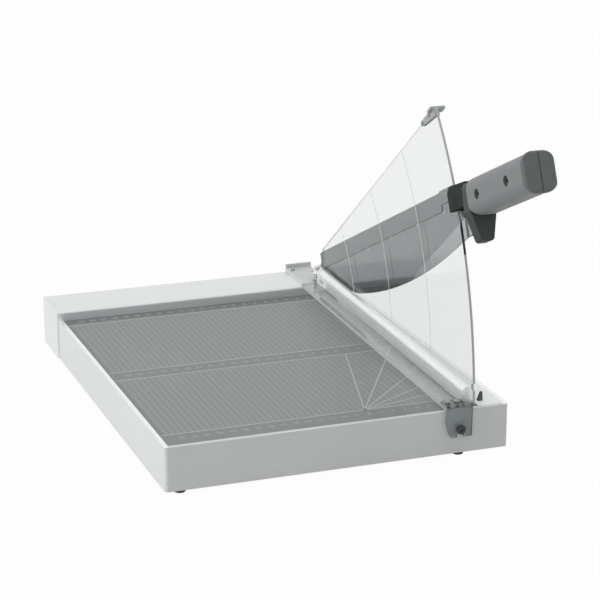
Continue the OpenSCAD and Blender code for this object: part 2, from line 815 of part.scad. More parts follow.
module blade_screw_set() color("#7d8182") at_arm() for (q = blade_screw_ap)
    translate([lever_x1, -q[0], q[1]]) rotate([0, 90, 0])
        screw_down(m4_d, lever_t + blade_t, m4_head, m4_head_h);

module tip_screw() color("#2f3333") at_arm() {
    rod_x(blade_x, lever_x1, -tip_screw_ap[0], tip_screw_ap[1], m3_d);
    rod_x(blade_x - m3_head_h, blade_x, -tip_screw_ap[0], tip_screw_ap[1], m3_head);
}

// Channel over the arm's back
spine_x0 = cut_x - lip_t;
spine_x1 = lever_x1 + slip + spine_t;

module over_channel(a0, a1, x0, x1, p0, p1, skin) {
    arm_block(a0, a1) difference() {
        translate([x0, p0]) square([x1 - x0, p1 - p0]);
        translate([cut_x, p0 - past]) square([lever_x1 + slip - cut_x, p1 - skin - p0 + past]);
    }
}

module spine_channel() color("#858989") at_arm() difference() {
    over_channel(spine_a0, spine_a1, spine_x0, spine_x1, arm_top - spine_h, arm_top, spine_t);
    for (q = blade_screw_ap)
        rod_x(lever_x1 - past, spine_x1 + past, -q[0], q[1], m4_head + 7 * fit);
}

// Neck between the channel and the head block
neck_rise = 1.2;

module arm_neck() color("#8a8e8e") at_arm()
    over_channel(spine_a1 + slip, neck_a1, spine_x0 - 0.2, spine_x1 + 0.2,
        arm_top - 9.8, arm_top + neck_rise, neck_rise + 1.9);

// Head block, slotted so that the guard's rim passes through it
head_p0 = 17.4;
head_p1 = arm_top - 1.1;
head_x0 = cut_x - 7.5;
head_x1 = spine_x1;
rim_gap = 0.5;
head_bite = 5;

module head_block() color("#4a5051") at_arm() difference() {
    arm_plate(head_x0, head_x1 - head_x0) polygon([
        [block_a0, head_p0],
        [block_a1, head_p0],
        [block_a1, head_p1 - 1.5],
        [block_a0 + 5, head_p1],
        [block_a0, head_p1 - 4]
    ]);
    translate([guard_x - rim_gap, -block_a0 - 13, head_p0 - past])
        cube([guard_t + 2 * rim_gap, 13 + past, head_p1]);
    translate([cut_x, -tip_a - fit, head_p0 - past])
        cube([blade_t + 2 * blade_gap, blade_over + 20, blade_top + fit - head_p0 + past]);
    translate([lever_x - slip, -block_a1 - past, head_p0 - past])
        cube([lever_t + 2 * slip, block_a1, tang_p1 + slip - head_p0 + past]);
    for (q = head_screw_ap) rod_x(lever_x1 - past, head_x1 + past, -q[0], q[1], m4_d);
    for (q = head_screw_ap) rod_x(lever_x - head_bite - past, lever_x + past, -q[0], q[1], m4_d);
}

module head_screws() color("#8a8d8e") at_arm() for (q = head_screw_ap)
    translate([head_x1, -q[0], q[1]]) rotate([0, 90, 0])
        screw_down(m4_d, head_x1 - lever_x + head_bite, m4_head, m4_head_h);

// Hand guard: a thick plate that tapers to a rounded foot
shield_x = cut_x - 0.5;

module hand_guard() color("#3f4444") at_arm() difference() {
    arm_block(shield_a, shield_a + shield_t) hull() {
        for (s = [-1, 1]) {
            translate([shield_x + s * 3.8, arm_top - 9.6]) circle(6, $fn = 48);
            translate([shield_x + s * 6.8, tang_p0]) circle(4, $fn = 48);
            translate([shield_x + s * 2.6, -10]) circle(3, $fn = 48);
        }
    }
    translate([lever_x - slip, -shield_a - shield_t - past, tang_p0 - slip])
        cube([lever_t + 2 * slip, shield_t + 2 * past, tang_p1 - tang_p0 + 2 * slip]);
}

// Grip: two halves on the tang, split beside the lever, round in section
module at_grip() {
    at_arm() translate([0, -grip_a, grip_p]) rotate([grip_dip, 0, 0]) children();
}

module grip_body(w, h, r, g0, g1) {
    translate([cut_x, -g0, 0]) rotate([90, 0, 0]) linear_extrude(g1 - g0)
        translate([-w / 2, -h / 2]) round_rect(w, h, r);
}

// Cuts the grip's lower front corner to a quarter round
module front_round(r) {
    translate([cut_x - grip_w, 0, 0]) rotate([90, 0, 90]) linear_extrude(2 * grip_w)
        difference() {
            translate([-r, -grip_h / 2 - past]) square([r + past, r + past]);
            translate([-r, r - grip_h / 2]) circle(r);
        }
}

module grip_half(x0, x1) {
    difference() {
        at_grip() difference() {
            intersection() {
                grip_body(grip_w, grip_h, grip_round, 0, grip_l);
                translate([x0, -grip_l - past, -grip_h])
                    cube([x1 - x0, grip_l + 2 * past, 2 * grip_h]);
            }
            translate([split_x - cap_plug_w / 2 - slip, -grip_l - past, -cap_plug_h / 2 - slip])
                cube([cap_plug_w + 2 * slip, cap_plug_l + past + slip, cap_plug_h + 2 * slip]);
            front_round(10);
        }
        at_arm() translate([lever_x - slip, -tang_end - fit, tang_p0 - slip])
            cube([lever_t + 2 * slip, tang_end, tang_p1 - tang_p0 + 2 * slip]);
        at_grip() for (g = grip_screw_g) rod_x(x0 - past, x1 - grip_skin, -g, 0, m4_d);
    }
}

grip_x0 = cut_x - grip_w / 2;
grip_x1 = cut_x + grip_w / 2;
recess = 3.5;
grip_skin = 2;

module grip_left() color("#85898a") difference() {
    grip_half(grip_x0, split_x);
    at_grip() for (g = grip_screw_g) {
        rod_x(grip_x0 - past, grip_x0 + recess, -g, 0, m4_head + past);
        rod_x(grip_x0, split_x + past, -g, 0, m4_d);
    }
}

module grip_right() color("#85898a") grip_half(split_x, grip_x1);

module grip_screws() color("#2f3333") at_grip() for (g = grip_screw_g)
    translate([grip_x0 + recess, -g, 0]) rotate([0, -90, 0])
        screw_down(m4_d, grip_x1 - grip_skin - slip - grip_x0 - recess, m4_head, m4_head_h);

// End cap: a thin cap with a round rim, an upright seam and a plug in the halves
cap_w = grip_w + 2 * endcap_step;
cap_h = grip_h + 2 * endcap_step;
cap_plug_w = 12;
cap_plug_h = 16;
cap_plug_l = 8;
seam_w = 0.7;
seam_deep = 0.8;

module end_round(w) {
    translate([-past, -w / 2]) square([endcap_l - endcap_r + past, w]);
    translate([-past, endcap_r - w / 2]) square([endcap_l + past, w - 2 * endcap_r]);
    for (s = [-1, 1]) translate([endcap_l - endcap_r, s * (w / 2 - endcap_r)]) circle(endcap_r);
}

module end_cap() color("#4f5655") at_grip() difference() {
    union() {
        intersection() {
            grip_body(cap_w, cap_h, grip_round + endcap_step, grip_l, grip_l + endcap_l);
            translate([cut_x + grip_w, -grip_l, 0]) rotate([90, 0, -90])
                linear_extrude(2 * grip_w) end_round(cap_h);
            translate([cut_x, -grip_l, -grip_h]) rotate([0, 0, -90])
                linear_extrude(2 * grip_h) end_round(cap_w);
        }
        translate([split_x - cap_plug_w / 2, -grip_l - past, -cap_plug_h / 2])
            cube([cap_plug_w, cap_plug_l + past, cap_plug_h]);
    }
    translate([split_x - seam_w / 2, -grip_l - endcap_l - past, -grip_h])
        cube([seam_w, seam_deep + past, 2 * grip_h]);
}

// Clamp strip: clear, under the beam and over the front wall
lug_rivet_xy = [[lug_x0 + 4, front + 4.5], [beam_x - 5, front + 4.5]];
beam_ys = spread(5, front + 30, clamp_y1 - 20);
beam_mid_x = beam_x + beam_w / 2;

module clamp_strip() color("#dfe6e6", 0.5) at_clamp() difference() {
    translate([guard_x - strip_w, lug_y1, strip_z])
        cube([strip_w, clamp_y1 - lug_y1, strip_t]);
    for (q = lug_rivet_xy) translate([q[0], q[1], strip_z - past])
        cylinder(d = rivet_d, h = strip_t + 2 * past);
    for (y = beam_ys) translate([beam_mid_x, y, strip_z]) mirror([0, 0, 1])
        flush_hole(m25_d, strip_t + past, m25_head);
}

// Tinted lug in front of the wall, slotted over its screw
lug_top = strip_top + lug_t;
lug_low = wall_top - lug_drop;

module front_lug() color("#6f7476", 0.8) at_clamp() difference() {
    union() {
        front_plate(lug_y0, lug_y1) difference() {
            polygon([
                [lug_x0, lug_top],
                [lug_x0, lug_low + 12],
                [lug_x0 + 3.2, lug_low + 1.6],
                [lug_x0 + 4.6, lug_low],
                [lug_x1 - 0.6, lug_low],
                [lug_x1, lug_low + 1],
                [lug_x1, lug_top]
            ]);
            translate([lug_screw_x, lug_screw_z]) circle(d = lug_slot);
            translate([lug_screw_x - lug_slot / 2, lug_low - past])
                square([lug_slot, lug_screw_z - lug_low + past]);
        }
        translate([lug_x0, lug_y1 - past, strip_top])
            cube([beam_x - fit - lug_x0, 10 + past, lug_t]);
    }
    for (q = lug_rivet_xy) translate([q[0], q[1], strip_top - past])
        cylinder(d = rivet_d, h = lug_t + 2 * past);
}

module lug_rivets() color("#3a3e3e") at_clamp() for (q = lug_rivet_xy)
    translate([q[0], q[1], strip_z]) {
        cylinder(d = rivet_d, h = strip_t + lug_t);
        translate([0, 0, strip_t + lug_t]) cylinder(d = 5, h = 1);
    }

// Polished beam with one round edge
beam_bite = 5.8;
guard_screw_yz = [for (y = spread(3, front + 20, bar_y - 20)) [y, beam_top - 5]];

tail_l = 6;

module beam_section() {
    difference() {
        translate([beam_x, strip_top]) square([beam_w, beam_h]);
        difference() {
            translate([beam_x - past, beam_top - beam_round])
                square([beam_round + past, beam_round + past]);
            translate([beam_x + beam_round, beam_top - beam_round]) circle(beam_round);
        }
    }
}

module clamp_beam() color("#e6e8e8") at_clamp() difference() {
    front_plate(beam_y0, clamp_y1 - tail_l) beam_section();
    translate([beam_x - past, clamp_y1 - end_l, strip_top - past])
        cube([end_t + past, end_l, end_h + past]);
    for (y = beam_ys) translate([beam_mid_x, y, strip_top - past])
        cylinder(d = m25_d, h = beam_bite + 2 * past);
    for (q = guard_screw_yz) rod_x(beam_x + 2, guard_x + past, q[0], q[1], m25_d);
    for (y = end_screw_ys)
        rod_x(beam_x - past, beam_x + end_t + end_bite + slip, y, end_screw_z, m2_d);
}

module beam_screws() color("#8a8d8e") at_clamp() for (y = beam_ys)
    translate([beam_mid_x, y, strip_z]) mirror([0, 0, 1])
        flush_screw(m25_d, strip_t + beam_bite, m25_head);

// Moulded end: the beam's tail, a cheek let into its side, and a tongue over the bar
end_l = 24;
end_h = 8;
end_t = 1.6;
end_bite = 2.8;
end_rib = 1.2;
tilt_shift = 0.2;
end_screw_ys = [clamp_y1 - 14, clamp_y1 - tail_l - 2.5];
end_screw_z = strip_top + 4;

module beam_end() color("#d6d8d8") at_clamp() difference() {
    union() {
        front_plate(clamp_y1 - tail_l, clamp_y1) beam_section();
        translate([beam_x, clamp_y1 - end_l, strip_top]) cube([end_t, end_l, end_h]);
        front_plate(clamp_y1 - past, tongue_y1) intersection() {
            beam_section();
            translate([beam_x, tongue_z]) square([beam_w, tongue_top - tongue_z]);
        }
        translate([guard_x - end_rib, clamp_y1 - past, tongue_z])
            cube([end_rib, tongue_y1 - clamp_y1 + past, beam_top - tongue_z]);
    }
    translate([guide_x, guide_y + tilt_shift, tongue_z - past])
        cylinder(d = m25_d + 6 * fit, h = beam_h);
    for (y = end_screw_ys) translate([beam_x, y, end_screw_z]) rotate([0, -90, 0])
        flush_hole(m2_d, end_t + past, m2_head);
}

module beam_end_screws() color("#8a8d8e") at_clamp() for (y = end_screw_ys)
    translate([beam_x, y, end_screw_z]) rotate([0, -90, 0])
        flush_screw(m2_d, end_t + end_bite, m2_head);

// Clear guard: a sector about a point near the pivot, with a straight upper edge
guard_low = strip_top + 1;
function edge_at(e, h) = [
    guard_cy - e * cos(guard_angle) + h * sin(guard_angle),
    guard_cz + e * sin(guard_angle) + h * cos(guard_angle)
];
hook_z = strip_top + 14.5;
hook_y = guard_cy - sqrt(guard_r * guard_r - pow(hook_z - guard_cz, 2));
edge_start = (guard_cy + guard_edge * sin(guard_angle) - guard_y1) / cos(guard_angle);

// Frame of the guard's straight edge, in distances from the guard's centre
module along_edge() {
    translate([0, guard_cy, guard_cz]) rotate([-guard_angle, 0, 0]) children();
}

clip_t = 1;
clip_e = [corner_e - 29, corner_e];
clip_rear = 3;
clip_front = 7;
tab_l = 6.5;
tab_left = 3;
rivet_e = [corner_e - 26.5, corner_e - 11];
rivet_h = guard_edge - 1.4;
stop_rivet_d = 1.6;

module blade_guard() color("#e8eeee", 0.4) at_clamp() difference() {
    side_plate(guard_x, guard_t) difference() {
        intersection() {
            translate([guard_cy, guard_cz]) circle(guard_r, $fn = 180);
            polygon([
                [guard_y1, tongue_z],
                [clamp_y1, tongue_z],
                [clamp_y1, guard_low],
                [front - 30, guard_low],
                edge_at(guard_r + 60, guard_edge),
                edge_at(edge_start, guard_edge)
            ]);
        }
        translate([hook_y, hook_z]) circle(hook_r);
    }
    for (q = guard_screw_yz) translate([guard_x + guard_t, q[0], q[1]]) rotate([0, 90, 0])
        flush_hole(m25_d, guard_t + past, m25_head);
    along_edge() for (e = rivet_e)
        rod_x(guard_x - past, guard_x + guard_t + past, -e, rivet_h, stop_rivet_d);
}

module guard_screws() color("#4b4f50") at_clamp() for (q = guard_screw_yz)
    translate([guard_x + guard_t, q[0], q[1]]) rotate([0, 90, 0])
        flush_screw(m25_d, guard_t + beam_w - 2.4, m25_head);

// Stop on the guard's upper corner: a clip over the edge with a tab that the arm meets
module clip_side() {
    polygon([
        [clip_e[0], guard_edge + clip_t],
        [clip_e[0], guard_edge - clip_rear],
        [clip_e[1], guard_edge - clip_front],
        [clip_e[1], guard_edge + clip_t]
    ]);
}

module guard_stop() color("#cfd2d2") at_clamp() along_edge() difference() {
    union() {
        arm_plate(guard_x - clip_t, clip_t) clip_side();
        arm_plate(guard_x + guard_t, clip_t) clip_side();
        arm_plate(guard_x - past / 2, guard_t + past) translate([clip_e[0], guard_edge])
            square([clip_e[1] - clip_e[0], clip_t]);
        arm_plate(guard_x + guard_t + clip_t / 2, tab_l) translate([corner_e - 8, guard_edge - 1])
            square([8, 1 + clip_t]);
        arm_plate(guard_x - clip_t / 2 - tab_left, tab_left) translate([corner_e - 8, guard_edge - 1])
            square([8, 1 + clip_t]);
    }
    for (e = rivet_e)
        rod_x(guard_x - clip_t - past, guard_x + guard_t + clip_t + past, -e, rivet_h, stop_rivet_d);
}

module stop_rivets() color("#5a5e5f") at_clamp() along_edge() for (e = rivet_e) {
    rod_x(guard_x - clip_t, guard_x + guard_t + clip_t, -e, rivet_h, stop_rivet_d);
    rod_x(guard_x - clip_t - 0.7, guard_x - clip_t, -e, rivet_h, 2 * stop_rivet_d);
}

base_frame();
base_floor();
floor_screws();
feet();
table_board();
cutting_mat();
cut_rail();
lower_knife();
knife_screw_set();
right_deck();
blade_stop();
backstop_bar();
bar_cap();
pivot_block();
block_screws();
pivot_cover();
cover_screw();
pivot_bolt();
thrust_washer();
outer_washer();
disc_springs();
pivot_nut();
lug_screw();
guide_screw();
lift_spring();
lever();
pivot_bush();
blade();
blade_screw_set();
tip_screw();
spine_channel();
arm_neck();
head_block();
head_screws();
hand_guard();
grip_left();
grip_right();
grip_screws();
end_cap();
clamp_strip();
front_lug();
lug_rivets();
clamp_beam();
beam_screws();
beam_end();
beam_end_screws();
blade_guard();
guard_screws();
guard_stop();
stop_rivets();
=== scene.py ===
import json
import math

import bmesh
import bpy
from mathutils import Matrix, Vector


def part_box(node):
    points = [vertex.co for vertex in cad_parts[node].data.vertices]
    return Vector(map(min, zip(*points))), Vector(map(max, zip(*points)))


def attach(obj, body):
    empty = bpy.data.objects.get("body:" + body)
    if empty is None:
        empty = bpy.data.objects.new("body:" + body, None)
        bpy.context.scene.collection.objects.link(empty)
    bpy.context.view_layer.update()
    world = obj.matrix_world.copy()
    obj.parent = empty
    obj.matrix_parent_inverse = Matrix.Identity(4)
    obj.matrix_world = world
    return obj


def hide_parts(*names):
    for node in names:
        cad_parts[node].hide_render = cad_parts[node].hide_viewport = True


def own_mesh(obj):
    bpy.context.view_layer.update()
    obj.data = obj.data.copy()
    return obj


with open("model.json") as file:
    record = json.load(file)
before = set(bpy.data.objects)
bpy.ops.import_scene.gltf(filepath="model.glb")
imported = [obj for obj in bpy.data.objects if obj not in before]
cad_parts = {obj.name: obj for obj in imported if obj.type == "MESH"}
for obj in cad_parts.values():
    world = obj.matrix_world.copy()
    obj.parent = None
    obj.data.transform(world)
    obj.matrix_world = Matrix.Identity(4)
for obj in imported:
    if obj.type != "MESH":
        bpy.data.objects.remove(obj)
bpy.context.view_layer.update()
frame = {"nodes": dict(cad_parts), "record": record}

mm = 0.001
nodes = frame["nodes"]


def toLinear(hexText):
    # sRGB hex to the linear colour that shader sockets expect
    parts = [int(hexText[i:i + 2], 16) / 255 for i in (1, 3, 5)]
    linear = [c / 12.92 if c <= 0.04045 else ((c + 0.055) / 1.055) ** 2.4 for c in parts]
    return (*linear, 1.0)


def addNode(tree, kind, settings=None, links=None):
    # one node: settings are properties or socket values, links are sockets and their sources
    node = tree.nodes.new(kind)
    for name, value in (settings or {}).items():
        if isinstance(name, str) and hasattr(node, name):
            setattr(node, name, value)
        else:
            node.inputs[name].default_value = value
    for name, source in (links or {}).items():
        tree.links.new(source, node.inputs[name])
    return node


def perMetre(sizeMm):
    # texture scale for a feature of that size, because coordinates are metres
    return 1 / (sizeMm * mm)


def emptyMaterial(name):
    material = bpy.data.materials.new(name)
    material.use_nodes = True
    material.node_tree.nodes.clear()
    return material, material.node_tree


# Blender's noise hardly leaves this range, so the gloss is mapped from it
noiseSpan = {"From Min": 0.3, "From Max": 0.7}

coatMarks = {"driftDetail": 3.0, "peelDetail": 2.0, "peelRoughness": 0.45, "fleckSize": 0.6,
             "fleckShare": 0.35, "glossPlay": 0.05, "ior": 1.5}


def coatedSteel(look):
    # coat on sheet steel: shade drifts slowly, orange peel breaks up the gloss
    material, tree = emptyMaterial(look["name"])
    place = addNode(tree, "ShaderNodeTexCoord").outputs["Object"]
    drift = addNode(tree, "ShaderNodeTexNoise", {"Scale": perMetre(look["drift"]),
                    "Detail": coatMarks["driftDetail"]}, {"Vector": place})
    peel = addNode(tree, "ShaderNodeTexNoise", {"Scale": perMetre(look["peel"]),
                   "Detail": coatMarks["peelDetail"], "Roughness": coatMarks["peelRoughness"]},
                   {"Vector": place})
    fleck = addNode(tree, "ShaderNodeTexVoronoi",
                    {"Scale": perMetre(look["peel"] * coatMarks["fleckSize"])}, {"Vector": place})
    height = addNode(tree, "ShaderNodeMath",
                     {"operation": "MULTIPLY_ADD", 1: coatMarks["fleckShare"]},
                     {0: fleck.outputs["Distance"], 2: peel.outputs[0]})
    bump = addNode(tree, "ShaderNodeBump", {"Strength": look["bump"],
                   "Distance": look["depth"] * mm}, {"Height": height.outputs[0]})
    tone = addNode(tree, "ShaderNodeMix", {"data_type": "RGBA", 6: toLinear(look["shade"]),
                   7: toLinear(look["colour"])}, {0: drift.outputs[0]})
    gloss = addNode(tree, "ShaderNodeMapRange", {**noiseSpan,
                    "To Min": look["rough"] - coatMarks["glossPlay"],
                    "To Max": look["rough"] + coatMarks["glossPlay"]}, {"Value": peel.outputs[0]})
    coat = addNode(tree, "ShaderNodeBsdfPrincipled", {"Metallic": 0.0, "IOR": coatMarks["ior"]},
                   {"Base Color": tone.outputs[2], "Roughness": gloss.outputs["Result"],
                    "Normal": bump.outputs[0]})
    addNode(tree, "ShaderNodeOutputMaterial", None, {"Surface": coat.outputs[0]})
    return material


metalMarks = {"lineDetail": 4.0, "lineRoughness": 0.65, "driftDetail": 2.0, "driftShare": 0.4}


def grainedMetal(look):
    # bare metal with the marks of drawing, grinding or plating: fine lines along one direction
    material, tree = emptyMaterial(look["name"])
    place = addNode(tree, "ShaderNodeTexCoord").outputs["Object"]
    scale = [perMetre(look["line"])] * 3
    scale["XYZ".index(look["along"])] = perMetre(look["line"] * look["stretch"])
    turned = addNode(tree, "ShaderNodeMapping", {"Rotation": (math.radians(look["turn"]), 0, 0)},
                     {"Vector": place})
    drawn = addNode(tree, "ShaderNodeMapping", {"Scale": scale}, {"Vector": turned.outputs[0]})
    marks = addNode(tree, "ShaderNodeTexNoise", {"Scale": 1.0, "Detail": metalMarks["lineDetail"],
                    "Roughness": metalMarks["lineRoughness"]}, {"Vector": drawn.outputs[0]})
    drift = addNode(tree, "ShaderNodeTexNoise", {"Scale": perMetre(look["drift"]),
                    "Detail": metalMarks["driftDetail"]}, {"Vector": place})
    both = addNode(tree, "ShaderNodeMix", {0: metalMarks["driftShare"]},
                   {2: marks.outputs[0], 3: drift.outputs[0]})
    bump = addNode(tree, "ShaderNodeBump", {"Strength": look["bump"],
                   "Distance": look["depth"] * mm}, {"Height": marks.outputs[0]})
    tone = addNode(tree, "ShaderNodeMix", {"data_type": "RGBA", 6: toLinear(look["shade"]),
                   7: toLinear(look["colour"])}, {0: both.outputs[0]})
    if "foot" in look:
        # painted shade and sheen: the beam's side is darker low down and paler at its rounded top,
        # as the light falls on it; lean follows the raised clamp
        level = addNode(tree, "ShaderNodeMapping", {"Rotation": (math.radians(look["lean"]), 0, 0)},
                        {"Vector": place})
        height = addNode(tree, "ShaderNodeSeparateXYZ", None, {"Vector": level.outputs[0]})
        rise = addNode(tree, "ShaderNodeMapRange", {"From Min": look["footZ"][0] * mm,
                       "From Max": look["footZ"][1] * mm}, {"Value": height.outputs["Z"]})
        tone = addNode(tree, "ShaderNodeMix", {"data_type": "RGBA", 6: toLinear(look["foot"])},
                       {0: rise.outputs[0], 7: tone.outputs[2]})
    gloss = addNode(tree, "ShaderNodeMapRange", {**noiseSpan,
                    "To Min": look["rough"] - look["play"], "To Max": look["rough"] + look["play"]},
                    {"Value": marks.outputs[0]})
    metal = addNode(tree, "ShaderNodeBsdfPrincipled", {"Metallic": look.get("metallic", 1.0)},
                    {"Base Color": tone.outputs[2], "Roughness": gloss.outputs["Result"],
                     "Normal": bump.outputs[0]})
    addNode(tree, "ShaderNodeOutputMaterial", None, {"Surface": metal.outputs[0]})
    return material


mouldMarks = {"cloudDetail": 4.0, "glossPlay": 0.06}


def mouldedPlastic(look):
    # plastic from a spark eroded mould: fine even grain, a little duller in patches
    material, tree = emptyMaterial(look["name"])
    place = addNode(tree, "ShaderNodeTexCoord").outputs["Object"]
    grain = addNode(tree, "ShaderNodeTexVoronoi", {"feature": "SMOOTH_F1",
                    "Scale": perMetre(look["grain"])}, {"Vector": place})
    cloud = addNode(tree, "ShaderNodeTexNoise", {"Scale": perMetre(look["drift"]),
                    "Detail": mouldMarks["cloudDetail"]}, {"Vector": place})
    bump = addNode(tree, "ShaderNodeBump", {"Strength": look["bump"],
                   "Distance": look["depth"] * mm}, {"Height": grain.outputs["Distance"]})
    tone = addNode(tree, "ShaderNodeMix", {"data_type": "RGBA", 6: toLinear(look["shade"]),
                   7: toLinear(look["colour"])}, {0: cloud.outputs[0]})
    gloss = addNode(tree, "ShaderNodeMapRange", {**noiseSpan,
                    "To Min": look["rough"] - mouldMarks["glossPlay"],
                    "To Max": look["rough"] + mouldMarks["glossPlay"]}, {"Value": cloud.outputs[0]})
    body = addNode(tree, "ShaderNodeBsdfPrincipled", {"Metallic": 0.0, "IOR": look["ior"]},
                   {"Base Color": tone.outputs[2], "Roughness": gloss.outputs["Result"],
                    "Normal": bump.outputs[0]})
    addNode(tree, "ShaderNodeOutputMaterial", None, {"Surface": body.outputs[0]})
    return material


acrylicMarks = {"hazeDetail": 5.0, "ripple": 0.05, "rippleDepth": 0.05, "glossLow": 0.6,
                "glossHigh": 1.4}


def castAcrylic(look):
    # clear cast sheet: sharp reflections, wiping haze, and the lamps shine through it
    material, tree = emptyMaterial(look["name"])
    place = addNode(tree, "ShaderNodeTexCoord").outputs["Object"]
    haze = addNode(tree, "ShaderNodeTexNoise", {"Scale": perMetre(look["drift"]),
                   "Detail": acrylicMarks["hazeDetail"]}, {"Vector": place})
    ripple = addNode(tree, "ShaderNodeBump", {"Strength": acrylicMarks["ripple"],
                     "Distance": acrylicMarks["rippleDepth"] * mm}, {"Height": haze.outputs[0]})
    gloss = addNode(tree, "ShaderNodeMapRange", {**noiseSpan,
                    "To Min": look["rough"] * acrylicMarks["glossLow"],
                    "To Max": look["rough"] * acrylicMarks["glossHigh"]},
                    {"Value": haze.outputs[0]})
    sheet = addNode(tree, "ShaderNodeBsdfPrincipled", {"Metallic": 0.0, "IOR": look["ior"],
                    "Transmission Weight": look["clear"], "Base Color": toLinear(look["colour"])},
                    {"Roughness": gloss.outputs["Result"], "Normal": ripple.outputs[0]})
    through = addNode(tree, "ShaderNodeBsdfTransparent", {"Color": toLinear(look["shadow"])})
    path = addNode(tree, "ShaderNodeLightPath")
    both = addNode(tree, "ShaderNodeMixShader", None, {0: path.outputs["Is Shadow Ray"],
                   1: sheet.outputs[0], 2: through.outputs[0]})
    addNode(tree, "ShaderNodeOutputMaterial", None, {"Surface": both.outputs[0]})
    return material


fibreMarks = {"pitDetail": 5.0, "pitRoughness": 0.7, "bump": 0.4, "roughLow": 0.72,
              "roughHigh": 0.9, "ior": 1.52}


def pressedFibre(look):
    # rubber or fibreboard: no shine, powdery, small pits
    material, tree = emptyMaterial(look["name"])
    place = addNode(tree, "ShaderNodeTexCoord").outputs["Object"]
    pits = addNode(tree, "ShaderNodeTexNoise", {"Scale": perMetre(look["grain"]),
                   "Detail": fibreMarks["pitDetail"], "Roughness": fibreMarks["pitRoughness"]},
                   {"Vector": place})
    bump = addNode(tree, "ShaderNodeBump", {"Strength": fibreMarks["bump"],
                   "Distance": look["depth"] * mm}, {"Height": pits.outputs[0]})
    tone = addNode(tree, "ShaderNodeMix", {"data_type": "RGBA", 6: toLinear(look["shade"]),
                   7: toLinear(look["colour"])}, {0: pits.outputs[0]})
    gloss = addNode(tree, "ShaderNodeMapRange", {**noiseSpan, "To Min": fibreMarks["roughLow"],
                    "To Max": fibreMarks["roughHigh"]}, {"Value": pits.outputs[0]})
    body = addNode(tree, "ShaderNodeBsdfPrincipled", {"Metallic": 0.0, "IOR": fibreMarks["ior"]},
                   {"Base Color": tone.outputs[2], "Roughness": gloss.outputs["Result"],
                    "Normal": bump.outputs[0]})
    addNode(tree, "ShaderNodeOutputMaterial", None, {"Surface": body.outputs[0]})
    return material


